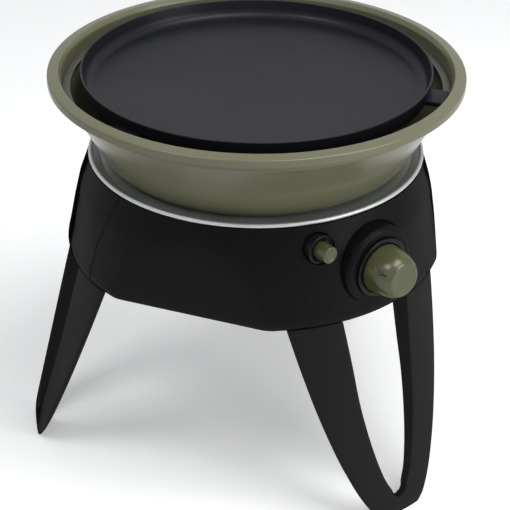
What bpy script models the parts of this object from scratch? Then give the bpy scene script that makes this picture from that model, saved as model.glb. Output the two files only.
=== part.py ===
"""Portable round gas griddle on a three-legged burner stand, as an assembly of separate pieces.

Metres, +Z up. The stand's feet are at z = 0 and the origin is the middle of its bounding box on
the floor. The control knob and its leg face -Y. Everything turned shares the burner's axis, which
the front foot puts a little behind the origin.
"""

import math

import bmesh
import bpy
from mathutils import Vector

MM = 0.001
GAP = 0.3 * MM  # between pieces that touch
SLIP = 0.4 * MM  # between pieces that slide or turn on each other
TAU = 2 * math.pi

# Legs. The stand's height is from the floor to the housing's lower edge
STAND_H = 186.5 * MM
LEG_AZIMUTHS = {"front": -90.0, "right": 30.0, "left": 150.0}
LEG_R = 164.0 * MM  # outer face, at the housing's lower edge
LEG_DEPTH = 24.4 * MM  # from there to the flat inner face
FOOT_OUT = 42.0 * MM  # the foot's outer face beyond the leg's top
FOOT_T = 4.0 * MM  # between the foot's two faces
FOOT_H = 7.4 * MM  # the outer face is upright below this height
LEG_HALF = [  # share of the leg's height, half its width in mm
    (1.0, 80.8),
    (0.8, 74.6),
    (0.585, 66.4),
    (0.37, 55.6),
    (0.2, 44.2),
    (0.1, 35.4),
    (0.04, 28.0),
    (0.0, 21.8),
]
SLOT_HALF = [(1.0, 35.5), (0.8, 32.2), (0.585, 29.2), (0.37, 22.8), (0.2, 14.4), (0.12, 7.2)]
SLOT_END = 0.08  # share of the leg's height where the slot closes

# Leg hinges
HINGE_IN = 43.0 * MM  # from the leg's outer face
HINGE_H = 13.0 * MM  # above the housing's lower edge
PIN_R = 2.5 * MM
KNUCKLE_R = 6.5 * MM
NECK_IN = 39.0 * MM  # from the leg's middle plane
NECK_OUT = 66.0 * MM
EAR_T = 4.0 * MM

# Housing: heights above its lower edge, how far it lies beyond the legs' outer faces, and how far
# beyond FLAT_R its flats lie, in mm
FLAT_R = 150.0 * MM
HOUSING = [
    (0.0, -0.6, -1.3),
    (2.0, 1.2, -0.4),
    (6.0, 2.0, 0.0),
    (17.5, -0.4, 0.2),
    (28.5, -2.6, 0.1),
    (39.5, -4.8, 0.0),
    (50.5, -7.4, -0.2),
    (61.5, -10.0, -0.4),
    (71.5, -13.6, -1.4),
    (79.5, -16.4, -3.0),
    (85.5, -18.4, -4.5),
]
WALL = 3.0 * MM
CORNER_SOFT = 2.4 * MM
PANEL_EDGE = [(0.0, 23.0), (13.5, 23.0), (37.5, 24.4), (85.5, 30.3)]  # degrees from the leg
PANEL_STEP = 0.6 * MM
PANEL_STEP_TURN = math.radians(0.4)
PAD_IN = 12.0 * MM  # pads on the flats that the base cover bears on
PAD_HALF = 14.0 * MM
PAD_T = 6.0 * MM

# Base cover
COVER_LIFT = 3.5 * MM  # above the housing's lower edge
COVER_T = 2.5 * MM
SLOT_IN = 23.0 * MM  # the slots for the legs' necks start this far inside the hinges

# Burner dish, the steel bowl with the bright bead
BEAD_R = 1.9 * MM
BEAD_IN = 1.7 * MM  # its middle, from the housing's outer face
SHEET = 1.0 * MM
LEDGE_BEAD = 8.9 * MM  # from the bead's middle to the ledge's outer edge
LEDGE_W = 29.0 * MM
LEDGE_DROP = 3.0 * MM  # below the bead's middle
WELL_R = 86.0 * MM
WELL_DEPTH = 34.0 * MM  # below the bead's middle
WELL_HOLE_R = 14.0 * MM

# Fat pan
LIP_R = 177.5 * MM
LIP_DROP = 6.5 * MM
LIP_W = 9.3 * MM
MOUTH_RISE = 1.9 * MM
NECK_IN_LIP = 11.1 * MM  # outside of the upright neck, from the lip's edge
SHOULDER_W = 2.7 * MM  # from there to the cone
PAN_BEAD = 9.5 * MM  # from the bead's middle to where the cone meets the rounded bottom
PAN_CURVE = 19.0 * MM
PAN_H = 77.6 * MM  # lip above the ledge that carries the pan
PAN_T = 1.2 * MM
COLLAR_R = 60.0 * MM
COLLAR_H = 20.0 * MM

# Ring that rests on the pan's shoulder and carries the griddle
RING_DROP = 12.6 * MM  # below the pan's lip
RING_W = 6.6 * MM
RING_T = 1.2 * MM

# Griddle plate
GRIDDLE_ROOM = 15.1 * MM  # between its rim and the pan's neck
GRIDDLE_RISE = 1.9 * MM  # rim above the pan's lip
GRIDDLE_DEPTH = 15.4 * MM
GRIDDLE_WALL_W = 10.6 * MM  # from the flat's edge to the rim
GRIDDLE_T = 4.0 * MM
RIM_W = 2.6 * MM
LUG_AZIMUTHS = (-53.0, 67.0, 187.0)
LUG_W = 26.0 * MM
LUG_H = 3.8 * MM
LUG_ROOM = 1.8 * MM  # between a lug and the pan's neck

# Burner and the tube that feeds it
BURNER_R = 44.0 * MM
BURNER_T = 3.0 * MM
BURNER_H = 42.0 * MM  # rim above the well
CUP_DEPTH = 16.0 * MM
FLANGE_R = 27.0 * MM
FLANGE_T = 3.0 * MM
PORTS = 18
PORT_W = 3.0 * MM
PORT_H = 5.0 * MM
CAP_T = 4.0 * MM
CAP_EDGE = 1.5 * MM
MIXER_R = 9.0 * MM
MIXER_WALL = 1.5 * MM
MIXER_IN = 12.0 * MM  # how far the tube enters the burner
AIR_HOLE_R = 3.6 * MM
AIR_HOLE_AT = 8.0 * MM  # past the jet

# Controls: the knob's seat on the front panel, and what is behind it
KNOB_H = 41.1 * MM  # above the housing's lower edge
SEAT_IN = 1.6 * MM  # from the legs' outer faces
SEAT_R = 26.5 * MM
SEAT_WALL = 3.2 * MM
BOSS_RIM = 1.5 * MM  # in front of the seat
BOSS_R = 35.0 * MM
BOSS_EDGE = 1.6 * MM
BEZEL_T = 4.0 * MM
BEZEL_W = 4.2 * MM
KNOB_L = 26.7 * MM
KNOB_SIDE = [  # share of the knob's length, radius in mm
    (0.02, 21.2),
    (0.17, 20.8),
    (0.36, 20.4),
    (0.51, 20.0),
    (0.62, 19.5),
    (0.73, 18.7),
    (0.85, 17.4),
    (0.94, 15.6),
    (1.0, 13.8),
]
NOTCH_W = 7.4 * MM
NOTCH_TURN = 154.0  # degrees from +X, seen from the front
NOTCH_DEPTH = 2.8 * MM  # at its point
HUB_DEPTH = 16.0 * MM
STEM_R = 3.0 * MM
STEM_IN = 12.0 * MM
VALVE_R = 9.0 * MM
VALVE_L = 30.0 * MM
VALVE_EAR = 18.0 * MM
VALVE_EAR_T = 4.0 * MM
VALVE_SCREW_AT = 14.0 * MM
JET_L = 8.0 * MM
JET_R = 5.0 * MM
JET_BORE = 0.8 * MM
INLET_R = 4.0 * MM
INLET_L = 30.0 * MM
INLET_BORE = 2.0 * MM
INLET_BACK = 16.0 * MM  # behind the valve's front
INLET_BOSS_R = 6.0 * MM
INLET_BOSS_H = 6.0 * MM
BARB = 0.6 * MM

# Igniter
IGNITER_X = -50.7 * MM
IGNITER_H = 67.2 * MM
IGNITER_IN = 26.0 * MM  # its seat, from the legs' outer faces
IGNITER_WALL = 4.6 * MM
IGNITER_COLLAR_R = 12.6 * MM
IGNITER_COLLAR_L = 8.8 * MM
BUTTON_R = 7.2 * MM
BUTTON_OUT = 11.6 * MM  # beyond the collar
BUTTON_IN = 9.0 * MM  # inside the barrel
BUTTON_TRAVEL = 6.0 * MM
BARREL_R = 8.7 * MM
BARREL_L = 42.0 * MM
BARREL_NUT_R = 11.2 * MM
BARREL_NUT_T = 4.0 * MM
ELECTRODE_AT = (-49.0 * MM, 13.0 * MM)
ELECTRODE_R = 0.8 * MM
ELECTRODE_LEAN = 2.4 * MM
INSULATOR_R = 3.2 * MM
INSULATOR_BELOW = 10.0 * MM
INSULATOR_ABOVE = 30.0 * MM
INSULATOR_RIM = 1.6 * MM
LEAD_R = 1.3 * MM
LEAD_ROUTE = [  # mm from the burner's axis, and above the housing's lower edge
    (-51.8, -84.0, 60.5),
    (-54.0, -78.0, 49.0),
    (-62.0, -56.0, 43.0),
    (-67.0, -30.0, 40.0),
    (-62.0, -4.0, 36.0),
    (-53.0, 9.0, 33.0),
]

# Fasteners
TIE_R = 2.0 * MM
TIE_AT = 62.0 * MM
SCREW_R = 1.5 * MM
HEAD_SHARE = 1.9  # head's radius over the shank's
HEAD_H = 1.8 * MM
NUT_T = 2.4 * MM
BURNER_SCREWS = (30.0, 150.0)
BURNER_SCREW_AT = 20.5 * MM

STEPS = 60  # faces round a large turned piece
FINE_STEPS = 24  # and round a small one

# Worked out from the above
FOOT_R = LEG_R + FOOT_OUT
LEG_BACK = LEG_R - LEG_DEPTH
HINGE_R = LEG_R - HINGE_IN
HOUSING_H = HOUSING[-1][0] * MM
HOUSING_TOP = STAND_H + HOUSING_H
BEAD_H = HOUSING_TOP + BEAD_R + GAP
BEAD_AT = LEG_R + HOUSING[-1][1] * MM - BEAD_IN
LEDGE_OUT = BEAD_AT - LEDGE_BEAD
LEDGE_IN = LEDGE_OUT - LEDGE_W
LEDGE_TOP = BEAD_H - LEDGE_DROP
WELL_TOP = BEAD_H - WELL_DEPTH
PAN_FLOOR = LEDGE_TOP + GAP
PAN_TOP = LEDGE_TOP + PAN_H
RING_TOP = PAN_TOP - RING_DROP
STEP_TOP = RING_TOP - RING_T - GAP
MOUTH_R = LIP_R - LIP_W
NECK_R = LIP_R - NECK_IN_LIP
PAN_LOW_R = BEAD_AT - PAN_BEAD
GRIDDLE_R = NECK_R - PAN_T - GRIDDLE_ROOM
GRIDDLE_FLAT_R = GRIDDLE_R - GRIDDLE_WALL_W
LUG_OUT = NECK_R - PAN_T - LUG_ROOM
GRIDDLE_TOP = PAN_TOP + GRIDDLE_RISE
COVER_BASE = STAND_H + COVER_LIFT
COVER_TOP = COVER_BASE + COVER_T
HINGE_Z = STAND_H + HINGE_H
KNOB_Z = STAND_H + KNOB_H
IGNITER_Z = STAND_H + IGNITER_H
BURNER_BASE = WELL_TOP + GAP
BURNER_TOP = BURNER_BASE + BURNER_H
KNOB_SEAT = LEG_R - SEAT_IN
IGNITER_SEAT = LEG_R - IGNITER_IN
VALVE_FRONT = KNOB_SEAT - SEAT_WALL - GAP
VALVE_END = VALVE_FRONT - VALVE_L
KNOB_BASE = KNOB_SEAT + HEAD_H + 4 * GAP
KNOB_R = KNOB_SIDE[0][1] * MM
AXIS_Y = (FOOT_R - LIP_R) / 2


def material(name, colour, roughness, metallic=0.0):
    made = bpy.data.materials.new(name)
    made.use_nodes = True
    shader = made.node_tree.nodes["Principled BSDF"]
    shader.inputs["Base Color"].default_value = (*colour, 1.0)
    shader.inputs["Roughness"].default_value = roughness
    shader.inputs["Metallic"].default_value = metallic
    made.diffuse_color = (*colour, 1.0)
    return made


# Meshes


def finish(mesh, name, look, sharp=35.0):
    """An object from a bmesh, on the burner's axis, shaded smooth up to an angle."""
    bmesh.ops.recalc_face_normals(mesh, faces=mesh.faces)
    data = bpy.data.meshes.new(name)
    mesh.to_mesh(data)
    mesh.free()
    data.shade_smooth()
    data.set_sharp_from_angle(angle=math.radians(sharp))
    data.materials.append(look)
    made = bpy.data.objects.new(name, data)
    made.parent = axis
    bpy.context.scene.collection.objects.link(made)
    return made


def place(made, at, turn=0.0, forward=False):
    """Moves an object, turned about Z, or with its own Z facing -Y."""
    made.location = at
    made.rotation_euler = (math.pi / 2 if forward else 0.0, 0.0, turn)
    return made


def add_face(mesh, *corners):
    corners = list(dict.fromkeys(corners))
    if len(corners) > 2:
        mesh.faces.new(corners)


def join_rings(mesh, low, high):
    """Faces between two rings, either of which may be a single point."""
    count = max(len(low), len(high))
    for i in range(count):
        j = (i + 1) % count
        add_face(mesh, low[i % len(low)], low[j % len(low)], high[j % len(high)], high[i % len(high)])


def circle(radius, height, steps):
    turns = [TAU * i / steps for i in range(steps)]
    return [(radius * math.cos(a), radius * math.sin(a), height) for a in turns]


def turned(name, profile, look, steps=STEPS, sharp=35.0):
    """Spins a closed outline of (radius, height) points about Z."""
    mesh = bmesh.new()
    rings = []
    for radius, height in profile:
        spots = [(0, 0, height)] if radius == 0 else circle(radius, height, steps)
        rings.append([mesh.verts.new(spot) for spot in spots])
    for low, high in zip(rings, rings[1:] + rings[:1]):
        join_rings(mesh, low, high)
    return finish(mesh, name, look, sharp)


def disc(radius, bottom, top, inner=0.0):
    """Outline of a washer, or of a plain cylinder."""
    return [(inner, bottom), (radius, bottom), (radius, top), (inner, top)]


def bend(centre, radius, start, end, count):
    """Points on an arc of (radius, height), angles in degrees."""
    turns = [math.radians(start + (end - start) * i / count) for i in range(count + 1)]
    return [(centre[0] + radius * math.cos(a), centre[1] + radius * math.sin(a)) for a in turns]


def block(name, low, high, look):
    """A box between two corners."""
    mesh = bmesh.new()
    bmesh.ops.create_cube(mesh, size=1.0)
    for vert in mesh.verts:
        vert.co = [low[i] + (vert.co[i] + 0.5) * (high[i] - low[i]) for i in range(3)]
    return finish(mesh, name, look)


def prism(name, low, high, look):
    """Joins two outlines of the same number of points, each a list of (x, y, z)."""
    mesh = bmesh.new()
    near = [mesh.verts.new(spot) for spot in low]
    far = [mesh.verts.new(spot) for spot in high]
    mesh.faces.new(near)
    mesh.faces.new(far)
    join_rings(mesh, near, far)
    return finish(mesh, name, look)


def along_y(name, outline, low, high, look):
    """An outline of (x, z) points carried along Y."""
    return prism(name, [(x, low, z) for x, z in outline], [(x, high, z) for x, z in outline], look)


def pipe(name, points, outer, inner, look, steps=FINE_STEPS):
    """A tube along a route, hollow when it has an inner radius."""
    mesh = bmesh.new()
    walls = [outer] if inner == 0 else [outer, inner]
    rings = {wall: [] for wall in walls}
    side = Vector((1, 0, 0))
    for i, point in enumerate(points):
        along = (points[min(i + 1, len(points) - 1)] - points[max(i - 1, 0)]).normalized()
        side = (side - along * side.dot(along)).normalized()
        up = along.cross(side)
        for wall in walls:
            spots = [point + side * x + up * y for x, y, _ in circle(wall, 0, steps)]
            rings[wall].append([mesh.verts.new(spot) for spot in spots])
    for wall in walls:
        for low, high in zip(rings[wall], rings[wall][1:]):
            join_rings(mesh, low, high)
    for end in (0, -1):
        if inner == 0:
            mesh.faces.new(rings[outer][end])
        else:
            join_rings(mesh, rings[outer][end], rings[inner][end])
    return finish(mesh, name, look)


def combine(target, tool, how):
    """A Boolean with a helper that isn't itself a piece of the object."""
    tool.hide_render = True
    tool.display_type = "WIRE"
    modifier = target.modifiers.new(how.lower() + "_" + tool.name, "BOOLEAN")
    modifier.operation = how
    modifier.object = tool
    return target


def cut(target, tool):
    return combine(target, tool, "DIFFERENCE")


def weld(target, tool):
    return combine(target, tool, "UNION")


def drill(target, name, radius, bottom, top, at, steps=12):
    """An upright hole through a piece, turned so that none of its corners meets a spoke."""
    hole = turned(name, disc(radius, bottom, top), target.active_material, steps)
    return cut(target, place(hole, at, math.pi / steps))


# Curves


def read_off(table, at, column=1):
    """Straight-line reading of a table of rows that start with a rising value."""
    for low, high in zip(table, table[1:]):
        if at <= high[0]:
            share = (at - low[0]) / (high[0] - low[0])
            return low[column] + share * (high[column] - low[column])
    return table[-1][column]


def smooth_read(table, at):
    """A smooth curve through (position, value) rows."""
    rows = sorted(table)
    last = len(rows) - 1
    slopes = []
    for i in range(last + 1):
        low, high = rows[max(i - 1, 0)], rows[min(i + 1, last)]
        slopes.append((high[1] - low[1]) / (high[0] - low[0]))
    i = min(max(sum(at > row[0] for row in rows) - 1, 0), last - 1)
    width = rows[i + 1][0] - rows[i][0]
    s = (at - rows[i][0]) / width
    start = (1 + 2 * s) * (1 - s) ** 2 * rows[i][1] + s * (1 - s) ** 2 * width * slopes[i]
    return start + s * s * (3 - 2 * s) * rows[i + 1][1] + s * s * (s - 1) * width * slopes[i + 1]


def smooth_route(points, steps=4):
    """Points on a smooth curve through the given ones."""
    route = []
    for i in range(len(points) - 1):
        before, start, end, after = (points[min(max(k, 0), len(points) - 1)] for k in range(i - 1, i + 3))
        for k in range(steps):
            t = k / steps
            pull = (end - before) * t + (before * 2 - start * 5 + end * 4 - after) * t * t
            route.append(start + (pull + (start * 3 - before - end * 3 + after) * t**3) / 2)
    return route + [points[-1]]


def polar(radius, azimuth, height=0.0):
    turn = math.radians(azimuth)
    return Vector((radius * math.cos(turn), radius * math.sin(turn), height))


def soft_min(a, b, soft):
    blend = max(soft - abs(a - b), 0.0) / soft
    return min(a, b) - blend * blend * soft / 4


# Housing


def flat_azimuths():
    return [azimuth + 60.0 for azimuth in LEG_AZIMUTHS.values()]


def flat_radius(height):
    return FLAT_R + read_off(HOUSING, height / MM, 2) * MM


def housing_radius(turn, height, inset=0.0):
    """Radius of the housing at an angle from the nearest leg and a height above its edge."""
    over_leg = LEG_R + read_off(HOUSING, height / MM, 1) * MM
    flat = flat_radius(height) / math.cos(math.pi / 3 - min(abs(turn), math.pi / 3))
    return soft_min(over_leg, flat, CORNER_SOFT) - inset


def housing_ring(mesh, height, inset=0.0, step=0.0, panel_faces=10, side_faces=12):
    """One closed loop round the housing, with the leg panels' edges in the same columns."""
    edge = math.radians(read_off(PANEL_EDGE, height / MM))
    start = edge + PANEL_STEP_TURN
    span = TAU / 3 - 2 * start
    columns = [(edge * (2 * i / panel_faces - 1), step) for i in range(panel_faces + 1)]
    columns += [(start + span * i / side_faces, 0.0) for i in range(side_faces + 1)]
    loop = []
    for azimuth in LEG_AZIMUTHS.values():
        for turn, rise in columns:
            near = turn if turn <= math.pi / 3 else turn - TAU / 3
            radius = housing_radius(near, height, inset) + rise
            spot = math.radians(azimuth) + turn
            loop.append(mesh.verts.new((radius * math.cos(spot), radius * math.sin(spot), STAND_H + height)))
    return loop


def make_housing():
    mesh = bmesh.new()
    heights = [row[0] * MM for row in HOUSING]
    outside = [housing_ring(mesh, height, step=PANEL_STEP) for height in heights]
    inside = [housing_ring(mesh, height, inset=WALL) for height in reversed(heights)]
    loops = outside + inside
    for low, high in zip(loops, loops[1:] + loops[:1]):
        join_rings(mesh, low, high)
    housing = finish(mesh, "housing_shell", black_plastic, sharp=28.0)
    for azimuth in flat_azimuths():
        add_pad(housing, azimuth)
    add_knob_seat(housing)
    add_igniter_seat(housing)
    return housing


def housing_core(name, inset):
    """The housing filled in, a little under its surface, to trim what is built onto its inside."""
    mesh = bmesh.new()
    loops = [housing_ring(mesh, row[0] * MM, inset) for row in HOUSING]
    for low, high in zip(loops, loops[1:]):
        join_rings(mesh, low, high)
    mesh.faces.new(loops[0])
    mesh.faces.new(loops[-1])
    return finish(mesh, name, black_plastic)


def add_pad(housing, azimuth):
    """A pad inside a flat, which the base cover bears on."""
    flat = flat_radius(COVER_LIFT)
    base = COVER_TOP + GAP
    low = (flat - PAD_IN, -PAD_HALF, base)
    high = (flat - WALL / 2, PAD_HALF, base + PAD_T)
    pad = block("pad_%d" % azimuth, low, high, black_plastic)
    weld(housing, place(pad, (0, 0, 0), math.radians(azimuth)))


def facing(name, profile, x, height, steps=48):
    """A helper turned about an axis that faces forward through the front panel."""
    return place(turned(name, profile, black_plastic, steps), (x, 0, height), forward=True)


def add_backing(housing, name, profile, x, height):
    """Thickens the front panel from inside, clear of the base cover, for a seat sunk in it."""
    backing = facing(name, profile, x, height)
    combine(backing, housing_core(name + "_core", WALL / 2), "INTERSECT")
    low = (-2 * BOSS_R, -2 * KNOB_SEAT, 0)
    cut(backing, block(name + "_clear", low, (2 * BOSS_R, 0, COVER_TOP + GAP), black_plastic))
    weld(housing, backing)


def add_knob_seat(housing):
    """A level round seat on a boss that stands proud of the panel and is open behind."""
    front = LEG_R + 2 * WALL
    low = KNOB_SEAT - BOSS_R
    rim = KNOB_SEAT + BOSS_RIM
    outline = [(0, low), (BOSS_R, low), (BOSS_R, rim - BOSS_EDGE), (BOSS_R - BOSS_EDGE, rim), (0, rim)]
    boss = facing("boss", outline, 0, KNOB_Z)
    weld(housing, cut(boss, housing_core("boss_core", WALL / 2)))
    back = KNOB_SEAT - SEAT_WALL
    cut(housing, facing("boss_hollow", disc(BOSS_R - SEAT_WALL, low - WALL, back), 0, KNOB_Z))
    cut(housing, facing("knob_recess", disc(SEAT_R, KNOB_SEAT, front), 0, KNOB_Z))
    low, high = back - WALL, KNOB_SEAT + WALL
    cut(housing, facing("stem_hole", disc(STEM_R + SLIP, low, high), 0, KNOB_Z, 16))
    for sign in (-1, 1):
        name = "panel_hole_%d" % sign
        cut(housing, facing(name, disc(SCREW_R + GAP, low, high), sign * VALVE_SCREW_AT, KNOB_Z, 12))


def add_igniter_seat(housing):
    front = LEG_R + 2 * WALL
    radius = IGNITER_COLLAR_R + GAP
    at = (IGNITER_X, IGNITER_Z)
    add_backing(housing, "igniter_backing", disc(radius + SEAT_WALL, IGNITER_SEAT - IGNITER_WALL, front), *at)
    cut(housing, facing("igniter_recess", disc(radius, IGNITER_SEAT, front), *at))
    low, high = IGNITER_SEAT - 2 * IGNITER_WALL, IGNITER_SEAT + WALL
    cut(housing, facing("igniter_hole", disc(BARREL_R + GAP, low, high), *at, FINE_STEPS))


# Base cover


def make_cover():
    mesh = bmesh.new()
    low = housing_ring(mesh, COVER_LIFT, WALL + GAP)
    high = housing_ring(mesh, COVER_LIFT, WALL + GAP)
    for vert in high:
        vert.co.z += COVER_T
    join_rings(mesh, low, high)
    mesh.faces.new(low)
    mesh.faces.new(high)
    cover = finish(mesh, "base_cover", black_plastic)
    for side, azimuth in LEG_AZIMUTHS.items():
        add_ears(cover, side, azimuth)
    low, high = COVER_BASE - WALL, COVER_TOP + WALL
    for azimuth in flat_azimuths():
        drill(cover, "tie_hole_%d" % azimuth, TIE_R + GAP, low, high, polar(TIE_AT, azimuth))
    inlet_y = INLET_BACK - VALVE_FRONT
    return drill(cover, "inlet_hole", INLET_BOSS_R + SLIP, low, high, (0, inlet_y, 0), FINE_STEPS)


def add_ears(cover, side, azimuth):
    """Four ears that hold one leg's hinge pin, and the two slots that its necks pass through."""
    turn = math.radians(azimuth)
    for sign in (-1, 1):
        near, far = NECK_IN - SLIP, NECK_OUT + SLIP
        for low, high in ((near - EAR_T, near), (far, far + EAR_T)):
            name = "ear_%s_%d" % (side, sign * low / MM)
            ear = along_y(name, ear_outline(), sign * low, sign * high, black_plastic)
            weld(cover, place(ear, (0, 0, 0), turn))
        slot = block(
            "slot_%s_%d" % (side, sign),
            (HINGE_R - SLOT_IN, min(sign * near, sign * far), COVER_BASE - WALL),
            (LEG_R + WALL, max(sign * near, sign * far), COVER_TOP + WALL),
            black_plastic,
        )
        cut(cover, place(slot, (0, 0, 0), turn))
    cut(cover, pin_shape("ear_bore_" + side, PIN_R + GAP, EAR_T * 2, black_plastic, azimuth))


def ear_outline():
    """Side view of a hinge ear: upright sides and a round head over the pin, as (x, z)."""
    base = COVER_TOP - COVER_T / 2
    head = bend((HINGE_R, HINGE_Z), KNUCKLE_R, 0, 180, 6)
    return [(HINGE_R - KNUCKLE_R, base), (HINGE_R + KNUCKLE_R, base)] + head


def pin_shape(name, radius, beyond, look, azimuth):
    """A rod on one leg's hinge axis, running past the necks at both ends."""
    half = NECK_OUT + beyond
    made = place(turned(name, disc(radius, -half, half), look, 16), polar(HINGE_R, azimuth, HINGE_Z))
    made.rotation_euler = (math.pi / 2, 0, math.radians(azimuth))
    return made


# Legs


def leg_outer(height):
    """Radius of a leg's outer face at a height above the floor."""
    return min(LEG_R + (STAND_H - height) * FOOT_OUT / (STAND_H - FOOT_H), FOOT_R)


def leg_back(height):
    """Distance of a leg's flat inner face from the burner's axis."""
    return LEG_BACK + (STAND_H - height) * (FOOT_R - FOOT_T - LEG_BACK) / STAND_H


def slot_half(share):
    """Half the slot's width, rounded where it closes."""
    first, width = SLOT_HALF[-1]
    if share >= first:
        return smooth_read(SLOT_HALF, share) * MM
    rise = max((share - SLOT_END) / (first - SLOT_END), 0.0)
    return width * MM * math.sqrt(rise * (2 - rise))


def leg_shares(high_rows=14):
    """Heights of a leg's rows as shares of the whole, close together where the slot closes."""
    low = [0.0, SLOT_END * 0.35, SLOT_END * 0.7, SLOT_END]
    turns = [math.pi / 2 * i / high_rows for i in range(1, high_rows + 1)]
    return low, [SLOT_END + (1 - SLOT_END) * (1 - math.cos(a)) for a in turns]


def make_leg(side, azimuth, faces=4):
    """A U-shaped leg: round outside, flat inside, thin at the foot. Its origin is on its hinge."""
    mesh = bmesh.new()
    low, high = leg_shares()
    front, back = [], []
    for share in low + high:
        height = share * (STAND_H - GAP)
        outer = smooth_read(LEG_HALF, share) * MM
        slot = slot_half(share) if share > SLOT_END else 0.0
        left = [-outer + (outer - slot) * i / faces for i in range(faces + 1)]
        across = left + [-x for x in reversed(left)]
        for sheet, flat in ((front, False), (back, True)):
            row = []
            for x in across:
                out = leg_back(height) if flat else math.sqrt(leg_outer(height) ** 2 - x * x)
                closed = slot == 0.0 and len(row) == faces + 1
                row.append(row[-1] if closed else mesh.verts.new((out - HINGE_R, x, height - HINGE_Z)))
            sheet.append(row)
    last = 2 * faces + 1
    for k in range(len(front) - 1):
        edges = [0, last] if k < len(low) - 1 else [0, faces, faces + 1, last]
        for i in [i for i in range(last) if i != faces]:
            for sheet in (front, back):
                add_face(mesh, sheet[k][i], sheet[k][i + 1], sheet[k + 1][i + 1], sheet[k + 1][i])
        for i in edges:
            add_face(mesh, front[k][i], front[k + 1][i], back[k + 1][i], back[k][i])
    for k, gap in ((0, -1), (-1, faces)):
        for i in [i for i in range(last) if i != gap]:
            add_face(mesh, front[k][i], front[k][i + 1], back[k][i + 1], back[k][i])
    leg = finish(mesh, "leg_" + side, black_plastic)
    at, turn = polar(HINGE_R, azimuth, HINGE_Z), math.radians(azimuth)
    place(leg, at, turn)
    for sign in (-1, 1):
        name = "neck_%s_%d" % (side, sign)
        neck = along_y(name, neck_outline(), sign * NECK_IN, sign * NECK_OUT, black_plastic)
        weld(leg, place(neck, at, turn))
    return cut(leg, pin_shape("neck_bore_" + side, PIN_R + GAP, EAR_T, black_plastic, azimuth))


def neck_outline():
    """Side view of a neck from its knuckle down into the leg, as (x, z) from the hinge."""
    shell = LEG_R + read_off(HOUSING, 0.0) * MM - WALL
    wall = math.sqrt(shell**2 - NECK_OUT**2) - SLIP - HINGE_R
    back = LEG_BACK - HINGE_R
    head = bend((0, 0), KNUCKLE_R, 30, 200, 6)
    root = [
        (back - 2 * WALL, -HINGE_H - WALL / 2),
        (back + WALL / 2, -HINGE_H - 4 * WALL),
        (back + 2 * WALL, -HINGE_H - 4 * WALL),
        (wall, -HINGE_H - WALL / 2),
        (wall, -HINGE_H + COVER_LIFT),
    ]
    return head + root


# Dish, pan, ring and griddle


def make_dish():
    """Steel bowl: a rolled bead on the housing, a ledge for the pan, and a well for the burner."""
    foot = WELL_R - 2 * SHEET
    outline = [
        (LEDGE_OUT, LEDGE_TOP),
        (LEDGE_IN, LEDGE_TOP),
        (WELL_R, WELL_TOP + SHEET),
        (foot, WELL_TOP),
        (WELL_HOLE_R, WELL_TOP),
        (WELL_HOLE_R, WELL_TOP - SHEET),
        (foot, WELL_TOP - SHEET),
        (WELL_R + SHEET, WELL_TOP),
        (LEDGE_IN + SHEET / 2, LEDGE_TOP - SHEET),
        (LEDGE_OUT, LEDGE_TOP - SHEET),
    ]
    outline += bend((BEAD_AT, BEAD_H), BEAD_R, -120, 150, 7)
    dish = turned("burner_dish", outline, steel, sharp=50.0)
    low, high = WELL_TOP - WALL, WELL_TOP + WALL
    for azimuth in flat_azimuths():
        drill(dish, "dish_tie_hole_%d" % azimuth, TIE_R + GAP, low, high, polar(TIE_AT, azimuth))
    for azimuth in BURNER_SCREWS:
        drill(dish, "well_hole_%d" % azimuth, SCREW_R + GAP, low, high, polar(BURNER_SCREW_AT, azimuth))
    return drill(dish, "electrode_hole", INSULATOR_R + GAP, low, high, (*ELECTRODE_AT, 0))


def pan_lean():
    """Angle from upright of the pan's cone, from its rounded bottom to its shoulder."""
    lean = 0.5
    for _ in range(20):
        low = PAN_FLOOR + PAN_CURVE * (1 - math.sin(lean))
        lean = math.atan((NECK_R - SHOULDER_W - PAN_LOW_R) / (STEP_TOP - low))
    return lean


def pan_cone(height):
    """Outer radius of the pan's cone at a height."""
    low = PAN_FLOOR + PAN_CURVE * (1 - math.sin(pan_lean()))
    return PAN_LOW_R + (height - low) * math.tan(pan_lean())


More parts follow.
